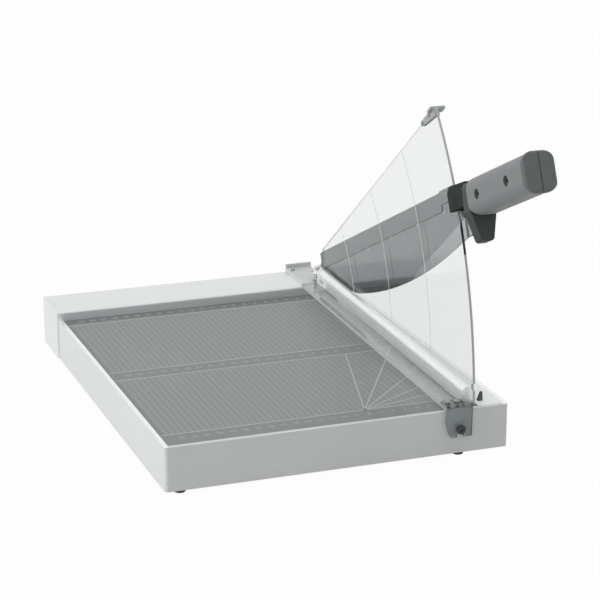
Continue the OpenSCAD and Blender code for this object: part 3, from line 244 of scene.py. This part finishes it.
# One finish for each material slot of the record. Sizes are those of the marks on the real
# surface, or coarser where the real ones are too fine for the render: paint peel is about
# 0.3 mm, mould grain 0.1 mm and grinding lines 0.02 mm.
finishes = {
    # pale grey powder coat on the base: fine orange peel, soft highlights
    "base_paint": (coatedSteel, {"name": "powderCoatedSteel", "colour": "#DADCDC",
                   "shade": "#D3D6D6", "rough": 0.5, "drift": 60, "peel": 0.9, "bump": 0.25,
                   "depth": 0.05}),
    # dark sprayed coat on the floor sheet: even, a little streaky
    "floor_paint": (coatedSteel, {"name": "sprayedFloorSheet", "colour": "#5E6263",
                    "shade": "#56595A", "rough": 0.5, "drift": 40, "peel": 1.2, "bump": 0.2,
                    "depth": 0.05}),
    # white powder coat on the folded deck: cleaner and glossier than the base
    "deck_paint": (coatedSteel, {"name": "powderCoatedDeck", "colour": "#FAFBFB",
                   "shade": "#F5F6F6", "rough": 0.42, "drift": 50, "peel": 0.9, "bump": 0.2,
                   "depth": 0.04}),
    # grey enamel on the steel lever: satin, hides the steel
    "lever_paint": (coatedSteel, {"name": "enamelledLever", "colour": "#85898B",
                    "shade": "#7D8183", "rough": 0.42, "drift": 30, "peel": 0.8, "bump": 0.2,
                    "depth": 0.04}),
    # pressed cover plate with a satin enamel: flat pale grey
    "cover_steel": (coatedSteel, {"name": "enamelledCover", "colour": "#D0D2D2",
                    "shade": "#C9CBCB", "rough": 0.45, "drift": 12, "peel": 0.7, "bump": 0.2,
                    "depth": 0.04}),
    # black oxide on small screws: dark, slightly oily
    "black_screw": (coatedSteel, {"name": "blackOxideScrew", "colour": "#303434",
                    "shade": "#26292A", "rough": 0.35, "drift": 2, "peel": 0.4, "bump": 0.2,
                    "depth": 0.02}),
    # pressed fibreboard: brown, coarse fibres
    "board": (pressedFibre, {"name": "fibreboard", "colour": "#A08E72", "shade": "#86745A",
              "grain": 1.5, "depth": 0.2}),
    # moulded nitrile rubber: matt and dark
    "dark_rubber": (pressedFibre, {"name": "mouldedRubber", "colour": "#3C4040",
                    "shade": "#303333", "grain": 0.8, "depth": 0.08}),
    # satin anodised extrusion of the backstop: bright, soft streaks along the bar
    "extrusion": (grainedMetal, {"name": "anodisedAluminium", "colour": "#E6E8E8",
                  "shade": "#DADCDD", "rough": 0.48, "play": 0.06, "line": 0.5, "stretch": 90,
                  "along": "X", "turn": 0, "drift": 45, "bump": 0.12, "depth": 0.02}),
    # pearl anodised aluminium of the beam: a milky layer on the metal, so half mirror, half white
    "polished_aluminium": (grainedMetal, {"name": "pearlAnodisedBeam", "colour": "#F4F5F5",
                           "shade": "#ECEEEE", "rough": 0.3, "play": 0.05, "metallic": 0.55,
                           # painted shade: the darker colour low on the beam's side, and the
                           # heights it fades over
                           "foot": "#C8CBCB", "footZ": (43, 55), "lean": -1.35, "line": 0.4,
                           "stretch": 120, "along": "Y", "turn": 0, "drift": 40, "bump": 0.05,
                           "depth": 0.01}),
    # surface ground steel of the lower knife: lines along the cut
    "knife_steel": (grainedMetal, {"name": "groundKnifeSteel", "colour": "#B9BEBF",
                    "shade": "#A9AEAF", "rough": 0.28, "play": 0.06, "line": 0.3, "stretch": 80,
                    "along": "Y", "turn": 0, "drift": 25, "bump": 0.15, "depth": 0.02}),
    # honed tool steel of the blade: dim mirror with hair lines along the arm
    "blade_steel": (grainedMetal, {"name": "honedToolSteel", "colour": "#929697",
                    "shade": "#898E8F", "rough": 0.14, "play": 0.04, "line": 0.35,
                    "stretch": 140, "along": "Y", "turn": 24.3, "drift": 60, "bump": 0.06,
                    "depth": 0.01}),
    # bright zinc plate on screws, nut and block: cool and cloudy
    "zinc_steel": (grainedMetal, {"name": "zincPlatedSteel", "colour": "#BFC4C6",
                   "shade": "#A3A9AB", "rough": 0.3, "play": 0.08, "line": 0.8, "stretch": 2,
                   "along": "X", "turn": 0, "drift": 4, "bump": 0.1, "depth": 0.02}),
    # drawn spring wire: bright
    "spring_steel": (grainedMetal, {"name": "drawnSpringWire", "colour": "#B4B8BA",
                     "shade": "#979C9E", "rough": 0.25, "play": 0.05, "line": 0.3, "stretch": 6,
                     "along": "X", "turn": 0, "drift": 5, "bump": 0.1, "depth": 0.01}),
    # sintered bearing bronze: warm, fine pores, oiled
    "bronze": (grainedMetal, {"name": "sinteredBronze", "colour": "#C9A066", "shade": "#A67F45",
               "rough": 0.35, "play": 0.08, "line": 0.6, "stretch": 1.5, "along": "X", "turn": 0,
               "drift": 4, "bump": 0.2, "depth": 0.02}),
    # extruded ABS channel on the arm's back: even mid grey, satin
    "spine_plastic": (mouldedPlastic, {"name": "extrudedAbsChannel", "colour": "#696D6E",
                      "shade": "#636768", "rough": 0.45, "ior": 1.45, "grain": 0.6, "drift": 25,
                      "bump": 0.25, "depth": 0.04}),
    # moulded ABS grip: lighter grey, grained for the hand
    "grip_plastic": (mouldedPlastic, {"name": "mouldedAbsGrip", "colour": "#838687",
                     "shade": "#7B7E7F", "rough": 0.58, "ior": 1.45, "grain": 0.7, "drift": 20,
                     "bump": 0.35, "depth": 0.06}),
    # dark moulded ABS of head block, hand guard and end cap: dull, grained
    "dark_plastic": (mouldedPlastic, {"name": "mouldedDarkAbs", "colour": "#464A4A",
                     "shade": "#3F4343", "rough": 0.58, "ior": 1.35, "grain": 0.7, "drift": 15,
                     "bump": 0.35, "depth": 0.06}),
    # pale moulded acetal end of the beam: waxy gloss
    "end_plastic": (mouldedPlastic, {"name": "mouldedAcetal", "colour": "#E6E8E8",
                    "shade": "#DEE0E0", "rough": 0.3, "ior": 1.48, "grain": 0.8, "drift": 10,
                    "bump": 0.15, "depth": 0.03}),
    # calendered vinyl cutting mat: soft grey, pebbled, satin
    "mat": (mouldedPlastic, {"name": "calenderedVinyl", "colour": "#8A8F8F", "shade": "#848989",
            "rough": 0.6, "ior": 1.4, "grain": 1.1, "drift": 50, "bump": 0.4, "depth": 0.06}),
    # clear cast acrylic of the guard; the low index matches the photograph's dim reflection
    "clear_acrylic": (castAcrylic, {"name": "castAcrylicClear", "colour": "#EEF0F0",
                      "shadow": "#FAFBFB", "ior": 1.17, "rough": 0.02, "drift": 30,
                      "clear": 1.0}),
    # smoke tinted cast acrylic of the front lug
    "smoke_acrylic": (castAcrylic, {"name": "castAcrylicSmoke", "colour": "#C9CDCE",
                      "shadow": "#B4B9BA", "ior": 1.25, "rough": 0.02, "drift": 8,
                      "clear": 1.0}),
}

materials = {slot: make(look) for slot, (make, look) in finishes.items()}
print("stage: finishes made,", len(materials))

# every carried-over CAD node takes the finish of its slot in the record
for part in frame["record"]["subparts"]:
    mesh = nodes[part["node"]].data
    mesh.materials.clear()
    mesh.materials.append(materials[part["material_slot"]])

# sawn edges of the acrylic: frosted, they catch the light as pale lines
sawnLook = {"name": "sawnAcrylicEdge", "colour": "#BCC0C0", "shade": "#B2B6B6", "rough": 0.6,
            "ior": 1.4, "grain": 0.5, "drift": 6, "bump": 0.3, "depth": 0.03}
sawnEdge = mouldedPlastic(sawnLook)
sawnSmokeEdge = mouldedPlastic(dict(sawnLook, name="sawnSmokeEdge", colour="#8B9091",
                                    shade="#838788"))
sheetAxes = {"blade_guard": 0, "clamp_strip": 2}
acrossSheet = 0.5  # part of the normal along the sheet's axis: a face with less is an edge
sawnSlot, darkReflectionSlot, frostedSlot = 1, 2, 3  # places in the list of materials, after the clear one
for name, axis in sheetAxes.items():
    mesh = nodes[name].data
    mesh.materials.append(sawnEdge)
    for face in mesh.polygons:
        face.material_index = sawnSlot if abs(face.normal[axis]) < acrossSheet else 0

# painted reflection: below the head block, the rim that faces the user is clear and tinted darker
# instead of frosted, so it shows dark like the head block mirrored in it
darkReflectionRim = {"from": 157.0, "to": 190.0, "front": 21.0}
darkReflectionEdge = castAcrylic(dict(finishes["clear_acrylic"][1], name="darkReflectionAcrylicEdge",
                              colour="#C4C9C9", ior=1.45, rough=0.08))
guardMesh = nodes["blade_guard"].data
guardMesh.materials.append(darkReflectionEdge)
for face in guardMesh.polygons:
    height, depth = face.center.z / mm, face.center.y / mm
    mirrorsHeadBlock = darkReflectionRim["from"] < height < darkReflectionRim["to"] and depth < darkReflectionRim["front"]
    if face.material_index == sawnSlot and mirrorsHeadBlock:
        face.material_index = darkReflectionSlot

# the straight edge towards the rear lets the white room through and hardly shows
frostedEdge = castAcrylic(dict(finishes["clear_acrylic"][1], name="frostedAcrylicEdge",
                               rough=0.45))
guardMesh.materials.append(frostedEdge)
upAndBack = 0.1  # least part of the normal that points up, and that points back
for face in guardMesh.polygons:
    slopes = face.normal.y > upAndBack and face.normal.z > upAndBack
    if face.material_index == sawnSlot and slopes:
        face.material_index = frostedSlot

# the lug's sides are sawn too
lugMesh = nodes["front_lug"].data
lugMesh.materials.append(sawnSmokeEdge)
for face in lugMesh.polygons:
    face.material_index = sawnSlot if abs(face.normal.x) > acrossSheet else 0

# pieces that share a slot with a neighbour but differ in shade: the head block is black, the end
# cap paler than the hand guard, the guard's stop and the rivets grey, the guide screw's head pale
ownLooks = {
    "head_block": dict(finishes["dark_plastic"][1], name="mouldedBlackAbs", colour="#161A1A",
                       shade="#121616", rough=0.66),
    "end_cap": dict(finishes["dark_plastic"][1], name="mouldedGreyAbsCap", colour="#6C7171",
                    shade="#646969"),
    "guard_stop": dict(finishes["end_plastic"][1], name="mouldedGreyAcetal", colour="#ABAFAF",
                       shade="#A2A6A6", rough=0.5),
    "stop_rivets": dict(finishes["end_plastic"][1], name="mouldedGreyRivet", colour="#8F9494",
                        shade="#868B8B", rough=0.5),
    "guide_screw": dict(finishes["end_plastic"][1], name="mouldedPaleScrew"),
    "lug_rivets": dict(finishes["end_plastic"][1], name="mouldedLugRivet", colour="#9EA3A3",
                       shade="#949999", rough=0.5),
}
for name, look in ownLooks.items():
    nodes[name].data.materials[0] = mouldedPlastic(look)

# the stop on the deck is a greyer rubber than the feet
stopLook = dict(finishes["dark_rubber"][1], name="mouldedGreyRubber", colour="#5E6262",
                shade="#545858")
nodes["blade_stop"].data.materials[0] = pressedFibre(stopLook)

# the strip is thicker stock than the guard, mirrors more of what stands over it and is a little
# milky from wear
stripLook = dict(finishes["clear_acrylic"][1], name="castAcrylicStrip", ior=1.45, clear=0.9)
nodes["clamp_strip"].data.materials[0] = castAcrylic(stripLook)

# width of the soft edge on each node: moulded and cast pieces wide, sheet and cut metal narrow
softEdges = {
    "base_frame": 0.6, "right_deck": 0.5, "backstop_bar": 0.3, "bar_cap": 0.35,
    "pivot_cover": 0.4, "cutting_mat": 0.3, "lower_knife": 0.1, "pivot_block": 0.5,
    "lever": 0.4, "spine_channel": 0.35, "arm_neck": 0.5, "head_block": 0.9, "hand_guard": 1.6,
    "grip_left": 0.5, "grip_right": 0.5, "end_cap": 0.15, "clamp_strip": 0.2, "front_lug": 0.3,
    "clamp_beam": 0.3, "beam_end": 0.2, "blade_guard": 0.2, "guard_stop": 0.25, "feet": 0.8,
    "blade_stop": 0.4, "pivot_bolt": 0.5, "pivot_nut": 0.5, "outer_washer": 0.2,
    "lug_screw": 0.3, "guide_screw": 0.3, "blade_screw_set": 0.3, "head_screws": 0.3,
    "grip_screws": 0.3, "cover_screw": 0.3, "block_screws": 0.3, "beam_end_screws": 0.1,
    "stop_rivets": 0.2, "lug_rivets": 0.3, "tip_screw": 0.4, "floor_screws": 0.3,
}
# faces that meet within flatWithin degrees are joined, edges of sharpFrom or more are rounded
softening = {"weld": 0.002, "flatWithin": 0.5, "sharpFrom": 35, "segments": 3, "weight": 80}


def softenEdges(piece, width):
    weld = piece.modifiers.new("weld", "WELD")
    weld.merge_threshold = softening["weld"] * mm
    flat = piece.modifiers.new("flat", "DECIMATE")
    flat.decimate_type = "DISSOLVE"
    flat.delimit = {"NORMAL", "MATERIAL"}
    flat.angle_limit = math.radians(softening["flatWithin"])
    bevel = piece.modifiers.new("bevel", "BEVEL")
    bevel.width = width * mm
    bevel.segments = softening["segments"]
    bevel.limit_method = "ANGLE"
    bevel.angle_limit = math.radians(softening["sharpFrom"])
    bevel.use_clamp_overlap = True
    shade = piece.modifiers.new("shade", "WEIGHTED_NORMAL")
    shade.keep_sharp = False
    shade.weight = softening["weight"]


for name, width in softEdges.items():
    softenEdges(nodes[name], width)
print("stage: edges softened,", len(softEdges))


def pieceFrom(name, mesh, material, body):
    piece = bpy.data.objects.new(name, mesh)
    bpy.context.scene.collection.objects.link(piece)
    mesh.materials.clear()
    mesh.materials.append(material)
    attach(piece, body)
    return piece


def addSlab(work, corners, low, high):
    # closed flat prism over corners (x, y), from z low to z high, all in millimetres
    lower = [work.verts.new(Vector((x, y, low)) * mm) for x, y in corners]
    upper = [work.verts.new(Vector((x, y, high)) * mm) for x, y in corners]
    work.faces.new(list(reversed(lower)))
    work.faces.new(upper)
    count = len(corners)
    for i in range(count):
        j = (i + 1) % count
        work.faces.new([lower[i], lower[j], upper[j], upper[i]])


def addLine(work, start, end, width, low, high):
    # straight bar from start to end (x, y), in millimetres
    run = (Vector(end) - Vector(start)).normalized()
    side = Vector((-run.y, run.x)) * width / 2
    a, b = Vector(start), Vector(end)
    addSlab(work, [a - side, b - side, b + side, a + side], low, high)


def addSkin(work, rows):
    # closed skin over a line of sections, each a list of vertices in the same order
    for near, far in zip(rows, rows[1:]):
        for i in range(len(near)):
            j = (i + 1) % len(near)
            work.faces.new([near[i], near[j], far[j], far[i]])
    work.faces.new(rows[0])
    work.faces.new(list(reversed(rows[-1])))


def meshOf(work, name):
    bmesh.ops.recalc_face_normals(work, faces=work.faces)
    mesh = bpy.data.meshes.new(name)
    work.to_mesh(mesh)
    work.free()
    return mesh


# printed mat: ruled fields, number bands and the angle fan, with places from the photograph
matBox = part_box("cutting_mat")
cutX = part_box("lower_knife")[1].x / mm
mat = {
    "top": matBox[1].z / mm,
    "left": matBox[0].x / mm,
    "right": matBox[1].x / mm,
    "front": matBox[0].y / mm,
    "pitch": 5.0,           # ruled lines, counted from the cut
    "line": 3.7,            # width of a ruled line, which leaves a narrow gap
    "margin": 1.0,          # the print keeps this far from the mat's edge
    "narrowMargin": 0.5,    # the bands and their lines come closer to it
    "edgeLine": 1.1,        # lines that bound the bands
    "tick": (3.0, 0.4),     # length and width of the ticks at the front edge
    "ink": 0.03,            # the ink stands this proud
    "sunk": 0.04,           # and goes this deep
    "layer": 0.005,         # a later layer of ink stands this much higher
    "rearBand": 299.0,
    "midBand": (147.2, 166.4),
    "frontBand": 16.9,
    "darkBand": (303.0, 315.3),  # darker band beside the backstop: partly print, partly painted shade of the bar
    "numberRows": (308.0, 157.0, 7.8),
    "numberPitch": 10.0,
    "figures": 23,          # in each row, counted from the cut
    "numberSize": 5.2,
    "numberShift": 1.3,     # the figures stand this far left of their lines
    "bold": 0.1,            # the figures are swollen by this much
    "curveSteps": 3,        # steps of a figure's curves
    "fanX": 154.5,
    "fanAngles": (75, 60, 45, 30, 15),
    "fanLine": 1.0,
    "labelSize": 4.2,
    "labelReach": 62.0,     # the labels stand this far out along the fan's lines
    "labelSide": 4.0,       # and this far beside them
}
inkLow = mat["top"] - mat["sunk"]
inkHigh = mat["top"] + mat["ink"]


def ruledFields():
    work = bmesh.new()
    count = int((cutX - mat["left"]) / mat["pitch"])
    for k in range(1, count + 1):
        x = cutX - k * mat["pitch"]
        if x > mat["right"] - mat["margin"] or x < mat["left"] + mat["margin"]:
            continue
        for y0, y1 in ((mat["frontBand"], mat["midBand"][0]), (mat["midBand"][1], mat["rearBand"])):
            addLine(work, (x, y0), (x, y1), mat["line"], inkLow, inkHigh)
        if k % 2:
            start = mat["front"] + mat["margin"]
            addLine(work, (x, start), (x, start + mat["tick"][0]), mat["tick"][1], inkLow, inkHigh)
    return meshOf(work, "mat_ruling")


# partly print, partly painted shade: the band beside the backstop is darker where the bar's shade
# falls
def darkBand():
    work = bmesh.new()
    low, high = mat["darkBand"]
    middle = (low + high) / 2
    inset = mat["narrowMargin"]
    addLine(work, (mat["left"] + inset, middle), (mat["right"] - inset, middle), high - low,
            inkLow, inkHigh)
    return meshOf(work, "mat_band")


def bandLines():
    work = bmesh.new()
    top = inkHigh + mat["layer"]
    left, right = mat["left"] + mat["margin"], mat["right"] - mat["narrowMargin"]
    for y in (mat["rearBand"], *mat["midBand"], mat["frontBand"]):
        addLine(work, (left, y), (right, y), mat["edgeLine"], inkLow, top)
    reach = mat["midBand"][0] - mat["frontBand"]
    for angle in mat["fanAngles"]:
        turn = math.radians(angle)
        length = min(reach / math.sin(turn), (right - mat["fanX"]) / math.cos(turn))
        start = Vector((mat["fanX"], mat["frontBand"]))
        end = start + length * Vector((math.cos(turn), math.sin(turn)))
        addLine(work, start, end, mat["fanLine"], inkLow, top + mat["layer"])
    return meshOf(work, "mat_lines")


def textMesh(words):
    # words are (text, x, y, size); all go into one mesh of thin raised figures
    joined = bmesh.new()
    for text, x, y, size in words:
        curve = bpy.data.curves.new("figure", "FONT")
        curve.body = text
        curve.align_x = "CENTER"
        curve.align_y = "CENTER"
        curve.size = size * mm
        curve.extrude = (mat["ink"] + mat["sunk"]) / 2 * mm
        curve.offset = mat["bold"] * mm
        curve.resolution_u = mat["curveSteps"]
        holder = bpy.data.objects.new("figure", curve)
        bpy.context.scene.collection.objects.link(holder)
        bpy.context.view_layer.update()
        evaluated = holder.evaluated_get(bpy.context.evaluated_depsgraph_get())
        shape = bpy.data.meshes.new_from_object(evaluated)
        height = (inkLow + inkHigh) / 2 + 2 * mat["layer"]
        shape.transform(Matrix.Translation(Vector((x, y, height)) * mm))
        joined.from_mesh(shape)
        bpy.data.objects.remove(holder)
        bpy.data.meshes.remove(shape)
        bpy.data.curves.remove(curve)
    mesh = bpy.data.meshes.new("mat_numbers")
    joined.to_mesh(mesh)
    joined.free()
    return mesh


words = []
for row in mat["numberRows"]:
    for k in range(1, mat["figures"] + 1):
        x = cutX - mat["numberPitch"] * k - mat["numberShift"]
        words.append((str(k), x, row, mat["numberSize"]))
for angle in mat["fanAngles"]:
    turn = math.radians(angle)
    away = Vector((math.cos(turn), math.sin(turn))) * mat["labelReach"]
    side = Vector((math.sin(turn), -math.cos(turn))) * mat["labelSide"]
    spot = Vector((mat["fanX"], mat["frontBand"])) + away + side
    words.append((str(angle), spot.x, spot.y, mat["labelSize"]))

# screen printed ink: paler than the vinyl, flat and slightly chalky
inkLook = {"name": "screenInkGrey", "colour": "#979B9B", "shade": "#919696", "rough": 0.65,
           "ior": 1.4, "grain": 0.9, "drift": 12, "bump": 0.2, "depth": 0.02}
inkMaterial = mouldedPlastic(inkLook)
lineMaterial = mouldedPlastic(dict(inkLook, name="screenInkPale", colour="#BCC0C0",
                                   shade="#B4B8B8"))
figureMaterial = mouldedPlastic(dict(inkLook, name="screenInkFigures", colour="#ABAFAF",
                                     shade="#A4A8A8"))
# the band's colour is partly print, partly painted shade of the backstop
shadedPrintMaterial = mouldedPlastic(dict(inkLook, name="screenInkAndPaintedShade", colour="#777B7B",
                                   shade="#727676"))

pieceFrom("mat_ruling", ruledFields(), inkMaterial, "base")
pieceFrom("mat_band", darkBand(), shadedPrintMaterial, "base")
pieceFrom("mat_lines", bandLines(), lineMaterial, "base")
pieceFrom("mat_numbers", textMesh(words), figureMaterial, "base")
print("stage: mat printed,", len(words), "figures")

# painted highlight: thin bright metallic strips on the rims of the side walls stand for the
# highlight along their edges; both read as bright lines beside the matt coat
rimHighlight = {"spans": ((260.0, 263.7, 349.0), (-13.7, -10.4, 315.9)), "front": -9.5, "z": 39.5,
           "sunk": 0.05, "thick": 0.03}
rimHighlightLook = dict(finishes["extrusion"][1], name="paintedRimHighlight", colour="#F4F5F5",
               shade="#ECEEEE", rough=0.3, along="Y", metallic=0.8)


def coatedRim():
    work = bmesh.new()
    for start, end, back in rimHighlight["spans"]:
        middle = (start + end) / 2
        addLine(work, (middle, rimHighlight["front"]), (middle, back), end - start,
                rimHighlight["z"] - rimHighlight["sunk"], rimHighlight["z"] + rimHighlight["thick"])
    return meshOf(work, "rim_highlight")


pieceFrom("rim_highlight", coatedRim(), grainedMetal(rimHighlightLook), "base")
print("stage: rims coated,", len(rimHighlight["spans"]))

# engraved rings on the guard, drawn about its centre with the clamp pressed, then lifted with it
guard = {
    "centre": (334.05, 25.9),   # y and z
    "edgeAngle": 37.65,         # slope of the straight edge
    "edge": 26.4,               # its distance from the centre
    "edgeGap": 0.4,             # the rings end this far inside it
    "rings": (100, 184, 266),
    "line": 0.9,
    "hinge": (-9.0, 39.5),
    "lift": 1.35,
    "left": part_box("blade_guard")[0].x / mm,
    "lowZ": 55.7,               # the rings start above the beam
    "proud": 0.03,
    "sunk": 0.1,
    "steps": 40,
}


def guardRings():
    work = bmesh.new()
    steps = guard["steps"]
    cy, cz = guard["centre"]
    for radius in guard["rings"]:
        low = math.asin((guard["lowZ"] - cz) / radius)
        slope = math.radians(guard["edgeAngle"])
        high = slope + math.asin((guard["edge"] - guard["edgeGap"]) / radius)
        rows = []
        for i in range(steps + 1):
            turn = low + (high - low) * i / steps
            row = []
            for r in (radius - guard["line"] / 2, radius + guard["line"] / 2):
                for x in (guard["left"] - guard["proud"], guard["left"] + guard["sunk"]):
                    y, z = cy - r * math.cos(turn), cz + r * math.sin(turn)
                    row.append(work.verts.new(Vector((x, y, z)) * mm))
            rows.append([row[0], row[1], row[3], row[2]])
        addSkin(work, rows)
    hinge = Vector((0, *guard["hinge"])) * mm
    lift = Matrix.Translation(hinge) @ Matrix.Rotation(math.radians(guard["lift"]), 4, "X")
    bmesh.ops.transform(work, matrix=lift @ Matrix.Translation(-hinge), verts=work.verts)
    return meshOf(work, "guard_rings")


# engraved line in acrylic: frosted, pale in reflected light
frostMaterial = mouldedPlastic({"name": "engravedFrost", "colour": "#D8DCDC", "shade": "#CFD3D3",
                                "rough": 0.7, "ior": 1.4, "grain": 0.5, "drift": 6, "bump": 0.4,
                                "depth": 0.03})
pieceFrom("guard_rings", guardRings(), frostMaterial, "clamp")
print("stage: guard engraved")

# ground facet along the blade's cutting edge, wider towards the tip
bladeFacet = {
    "pivot": (341.75, 25.9),        # y and z
    "angle": 24.3,                  # of the raised arm
    "edgeCentre": (217.75, 680.4),  # along the arm and square to it, from the pivot
    "edgeRadius": 700.0,
    "edgeGap": 0.15,                # the facet starts this far above the cutting edge
    "from": 240.0,
    "to": 370.4,
    # width of the facet square to the arm at places along it
    "width": ((240, 0.6), (257, 5.3), (282, 9.4), (317, 12.7), (340, 14.7), (370.4, 16.5)),
    "face": cutX + 0.1,             # x of the blade's left face
    "proud": 0.03,
    "sunk": 0.1,
    "steps": 48,
}


def groundFacet():
    work = bmesh.new()
    look = bladeFacet
    turn = math.radians(look["angle"])
    outer, inner = look["face"] - look["proud"], look["face"] + look["sunk"]
    rows = []
    for i in range(look["steps"] + 1):
        # a runs along the arm, p is square to it
        a = look["from"] + (look["to"] - look["from"]) * i / look["steps"]
        off = a - look["edgeCentre"][0]
        drop = math.sqrt(look["edgeRadius"] ** 2 - off ** 2)
        low = look["edgeCentre"][1] - drop + look["edgeGap"]
        for (a0, w0), (a1, w1) in zip(look["width"], look["width"][1:]):
            if a0 <= a <= a1:
                wide = w0 + (w1 - w0) * (a - a0) / (a1 - a0)
        row = []
        for x, p in ((outer, low), (outer, low + wide), (inner, low + wide), (inner, low)):
            y = look["pivot"][0] - a * math.cos(turn) + p * math.sin(turn)
            z = look["pivot"][1] + a * math.sin(turn) + p * math.cos(turn)
            row.append(work.verts.new(Vector((x, y, z)) * mm))
        rows.append(row)
    addSkin(work, rows)
    return meshOf(work, "blade_facet")


# fresh ground tool steel: brighter than the honed face, with grinding lines across the edge
facetMaterial = grainedMetal({"name": "freshGroundSteel", "colour": "#C2C6C7", "shade": "#B4B8B9",
                              "rough": 0.24, "play": 0.06, "line": 0.4, "stretch": 40,
                              "along": "Z", "turn": 24.3, "drift": 30, "bump": 0.1,
                              "depth": 0.01})
pieceFrom("blade_facet", groundFacet(), facetMaterial, "arm")
print("stage: blade edge ground")

# the lift spring becomes a piece of its own on the base, its lower end on the bar's floor; the CAD
# node is hidden
coilMesh = nodes["lift_spring"].data.copy()
coilMesh.transform(nodes["lift_spring"].matrix_world)
coilPiece = pieceFrom("lift_spring_coil", coilMesh, materials["spring_steel"], "base")
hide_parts("lift_spring")
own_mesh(coilPiece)

# stage: pale floor, white surroundings, soft lamps. The floor is white to the rays that see it,
# apart from the small share that takes the shadow
stage = {"floorColour": "#DDDDDD", "floorWhite": 0.97, "ambient": 0.46, "size": 12000}
white = (1, 1, 1, 1)


def brightRays(tree):
    # 1 for the rays that see the background: camera, glossy and transmission rays
    path = addNode(tree, "ShaderNodeLightPath")
    first = addNode(tree, "ShaderNodeMath", {"operation": "MAXIMUM"},
                    {0: path.outputs["Is Camera Ray"], 1: path.outputs["Is Glossy Ray"]})
    second = addNode(tree, "ShaderNodeMath", {"operation": "MAXIMUM"},
                     {0: first.outputs[0], 1: path.outputs["Is Transmission Ray"]})
    return second.outputs[0]


def paleFloor():
    work = bmesh.new()
    half = stage["size"] / 2 * mm
    corners = [(-half, -half), (half, -half), (half, half), (-half, half)]
    work.faces.new([work.verts.new((x, y, 0)) for x, y in corners])
    mesh = meshOf(work, "floor")
    floor = bpy.data.objects.new("floor", mesh)
    bpy.context.scene.collection.objects.link(floor)
    material, tree = emptyMaterial("whitePaperSweep")
    matt = addNode(tree, "ShaderNodeBsdfDiffuse", {"Color": toLinear(stage["floorColour"])})
    glow = addNode(tree, "ShaderNodeEmission", {"Color": white, "Strength": 1.0})
    share = addNode(tree, "ShaderNodeMath", {"operation": "MULTIPLY", 1: stage["floorWhite"]},
                    {0: brightRays(tree)})
    both = addNode(tree, "ShaderNodeMixShader", None,
                   {0: share.outputs[0], 1: matt.outputs[0], 2: glow.outputs[0]})
    addNode(tree, "ShaderNodeOutputMaterial", None, {"Surface": both.outputs[0]})
    mesh.materials.append(material)


def whiteWorld():
    world = bpy.data.worlds.new("white_room")
    bpy.context.scene.world = world
    world.use_nodes = True
    tree = world.node_tree
    tree.nodes.clear()
    dim = addNode(tree, "ShaderNodeBackground", {"Color": white, "Strength": stage["ambient"]})
    full = addNode(tree, "ShaderNodeBackground", {"Color": white, "Strength": 1.0})
    both = addNode(tree, "ShaderNodeMixShader", None,
                   {0: brightRays(tree), 1: dim.outputs[0], 2: full.outputs[0]})
    addNode(tree, "ShaderNodeOutputWorld", None, {"Surface": both.outputs[0]})


lamps = {
    # big soft box overhead, right of the blade: brightens the tops and the deck beside the blade.
    # It isn't mirrored, because its image would draw a white line along every rounded edge
    "topBox": {"at": (700, 0, 2900), "size": 2300, "watts": 31, "mirrored": False},
    # low soft box on the left: brightens the left wall, hardly a shadow on the deck
    "leftBox": {"at": (-2900, 100, 700), "size": 1800, "watts": 51, "mirrored": True},
}
lampAim = (110, 160, 60)


def softLamps():
    middle = Vector(lampAim) * mm
    for name, lamp in lamps.items():
        light = bpy.data.lights.new(name, "AREA")
        light.shape = "SQUARE"
        light.size = lamp["size"] * mm
        light.energy = lamp["watts"]
        holder = bpy.data.objects.new(name, light)
        holder.location = Vector(lamp["at"]) * mm
        holder.visible_glossy = lamp["mirrored"]
        holder.rotation_euler = (middle - holder.location).to_track_quat("-Z", "Y").to_euler()
        bpy.context.scene.collection.objects.link(holder)


paleFloor()
whiteWorld()
softLamps()
print("stage: floor, surroundings and lamps")

# camera at the photograph's angle; nearest and farthest are metres
view = {"at": (-400.68, -1356.77, 585.90), "tilt": 72.80, "turn": -20.08, "lens": 122.77,
        "sensor": 36.0, "nearest": 0.05, "farthest": 50.0}
camera = bpy.data.cameras.new("camera")
camera.lens = view["lens"]
camera.sensor_width = view["sensor"]
camera.clip_start = view["nearest"]
camera.clip_end = view["farthest"]
camera.dof.use_dof = False
cameraHolder = bpy.data.objects.new("camera", camera)
cameraHolder.location = Vector(view["at"]) * mm
cameraHolder.rotation_euler = (math.radians(view["tilt"]), 0, math.radians(view["turn"]))
bpy.context.scene.collection.objects.link(cameraHolder)
bpy.context.scene.camera = cameraHolder
bpy.context.scene.view_settings.view_transform = "Standard"

print("stage: done")
